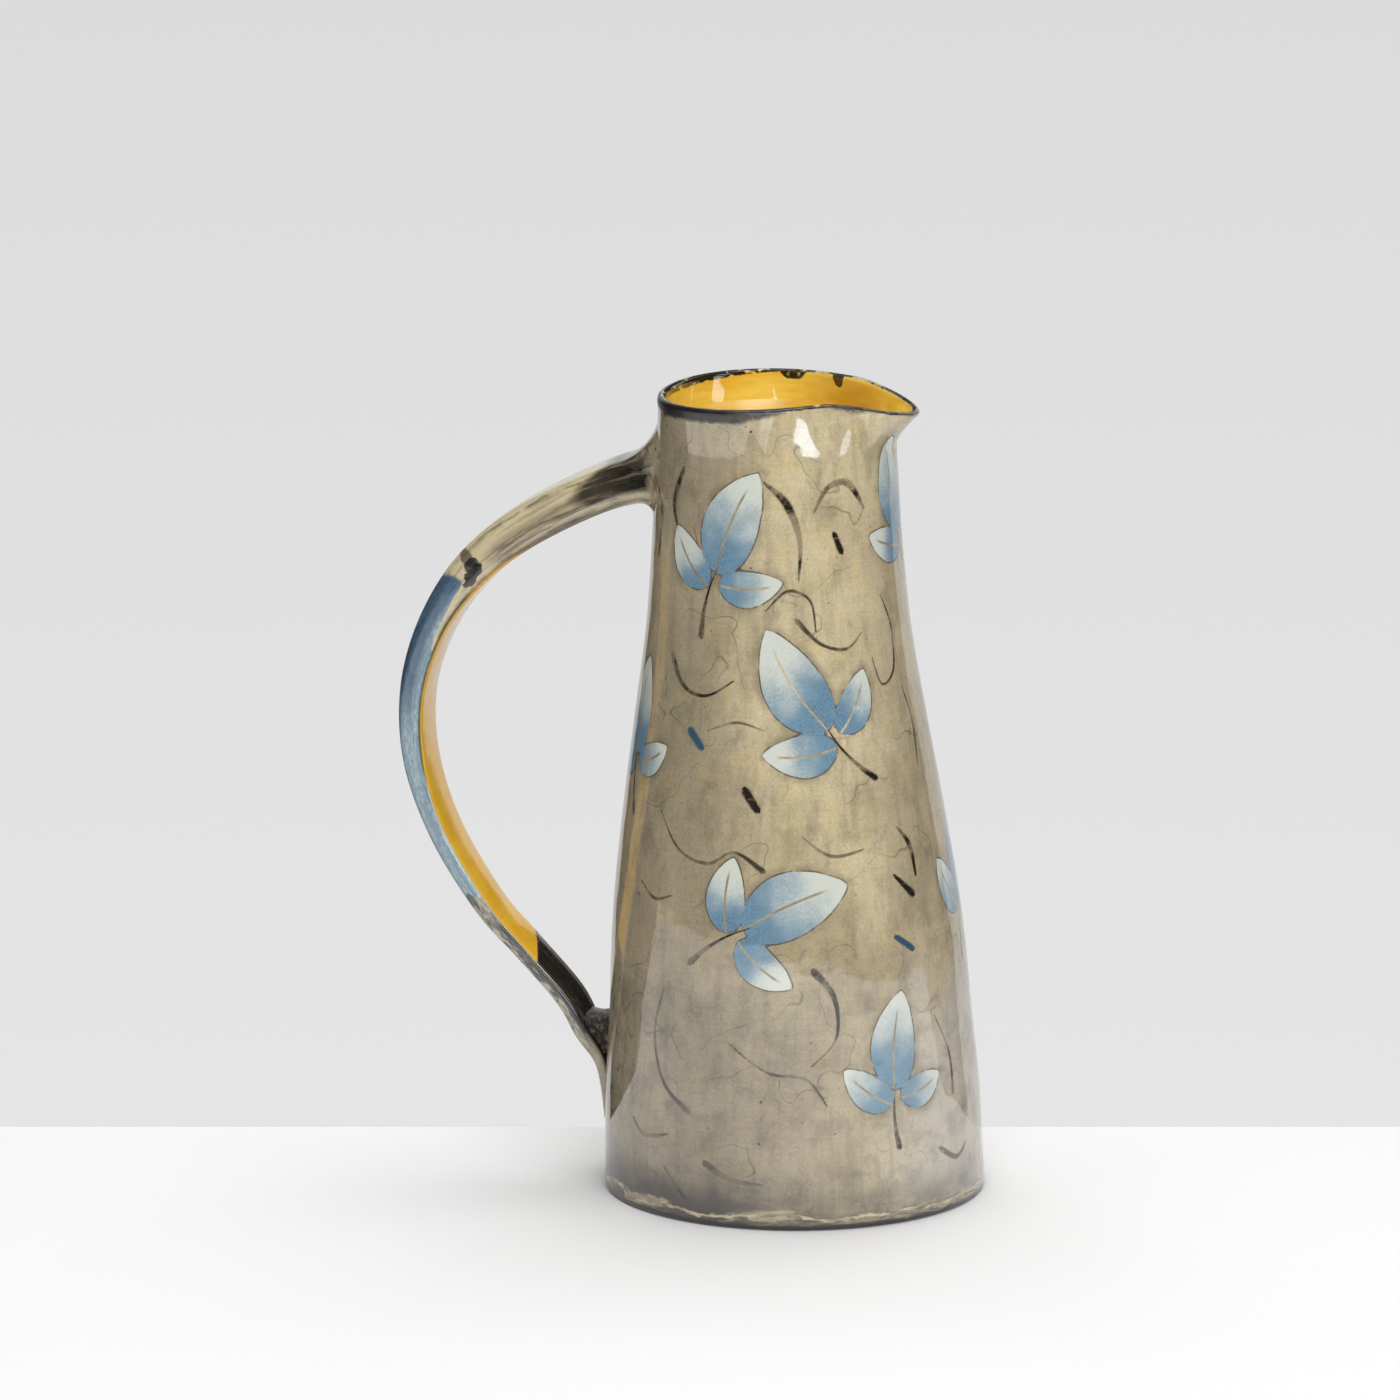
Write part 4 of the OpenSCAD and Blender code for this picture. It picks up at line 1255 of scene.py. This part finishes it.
def dark_screens():
    """Screens round the sides and front, so that the glaze shows its own colour between the reflections
    of the pale table and the pale background, a near one behind that darkens the strap's inner face, and
    one before the strap that keeps its dabs black."""
    left, right = np.radians(ROOM_GAP)
    turns = np.linspace(right, 2 * np.pi - left, 33)
    hidden_screen("room_dark", ROOM_R * np.stack([np.sin(turns), np.cos(turns)], -1), ROOM_LOW, ROOM_HIGH)
    hidden_screen("strap_dark", [(BACK_FROM, BACK_AWAY), (BACK_TO, BACK_AWAY)], BACK_LOW, BACK_HIGH)
    turns = np.radians(np.linspace(*ARC_TURNS, 13))
    hidden_screen("left_dark", ARC_R * np.stack([np.sin(turns), -np.cos(turns)], -1), ARC_LOW, ARC_HIGH)


def facing(name, data, at, toward):
    """A lamp or camera at a place, which looks back along the unit vector toward it."""
    item = bpy.data.objects.new(name, data)
    item.location = at * MM
    item.rotation_mode = "QUATERNION"
    item.rotation_quaternion = Vector(-toward).to_track_quat("-Z", "Y")
    bpy.context.scene.collection.objects.link(item)
    return item


def soft_lamp(name, turn, rise, distance, width, height, power):
    """A soft box at that azimuth and elevation that faces the middle of the jug."""
    lamp = bpy.data.lights.new(name, "AREA")
    lamp.shape, lamp.size, lamp.size_y, lamp.energy = "RECTANGLE", width * MM, height * MM, power
    toward = seen_from(VIEW_TURN + turn, rise)
    box = facing(name, lamp, toward * distance + [0, 0, HEIGHT / 2], toward)
    box.visible_camera = False
    return box


def lamps():
    """Lamps that give light without being mirrored, then lamps that are mirrored and give no light."""
    for lamp in LIGHTS:
        soft_lamp(*lamp).visible_glossy = False
    for *lamp, colour in SHINES:
        box = soft_lamp(*lamp)
        box.visible_diffuse = False
        box.data.color = colour


def background():
    """A grey background that grows lighter downward, for the eye and for reflections; the rest of the
    light that the world gives is an even fill."""
    world = bpy.data.worlds.new("studio")
    bpy.context.scene.world = world
    world.use_nodes = True
    world.node_tree.nodes.clear()
    n = NodeMaker(world.node_tree)
    path = n.node("LightPath", {})
    seen = n.either(n.either(path["Is Camera Ray"], path["Is Glossy Ray"]), path["Is Transmission Ray"])
    up = n.node("SeparateXYZ", {0: n.node("TexCoord", {})["Generated"]})["Z"]
    rise = n.node("MapRange", {"Value": up, "From Min": GREY_START, "From Max": GREY_END})["Result"]
    shown = n.node("Background", {"Color": n.mix(rise, GREY_LOW, GREY_HIGH)})[0]
    fill = n.node("Background", {"Color": WHITE, "Strength": FILL})[0]
    n.node("OutputWorld", {"Surface": n.node("MixShader", {0: seen, 1: fill, 2: shown})[0]})


def camera():
    """A long lens aimed a little to the left of the axis."""
    lens = bpy.data.cameras.new("view")
    lens.lens, lens.sensor_width = LENS_MM, SENSOR_MM
    toward = seen_from(VIEW_TURN, VIEW_RISE)
    at = AIM_ASIDE * VIEW_RIGHT + [0, 0, AIM_Z] + VIEW_DISTANCE * toward
    bpy.context.scene.camera = facing("view", lens, at, toward)


def dress(piece, material, slot, *nodes):
    """Gives a piece its finish, sets it on the part's one body and hides the nodes that it stands for."""
    piece.data.materials.append(material)
    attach(piece, "root")
    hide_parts(*nodes)


base, wall, lining = pot_pieces()
strap, root = handle_pieces()
dress(base, base_glaze(), "foot_glaze", "base")
dress(wall, wall_glaze(), "khaki_glaze", "wall", "lip_spout")
dress(lining, lining_glaze(), "yellow_glaze", "liner_glaze")
dress(strap, handle_glaze(), "handle_glaze", "handle_strap")
dress(root, root_glaze(), "khaki_glaze", "handle_top_joint")
dress(web_piece(), web_glaze(), "dark_glaze", "handle_bottom_joint")
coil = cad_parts["base_coil"]
coil.data.materials.clear()
coil.data.materials.append(fired_clay())

table()
dark_screens()
background()
lamps()
camera()
bpy.context.scene.view_settings.view_transform = "Standard"
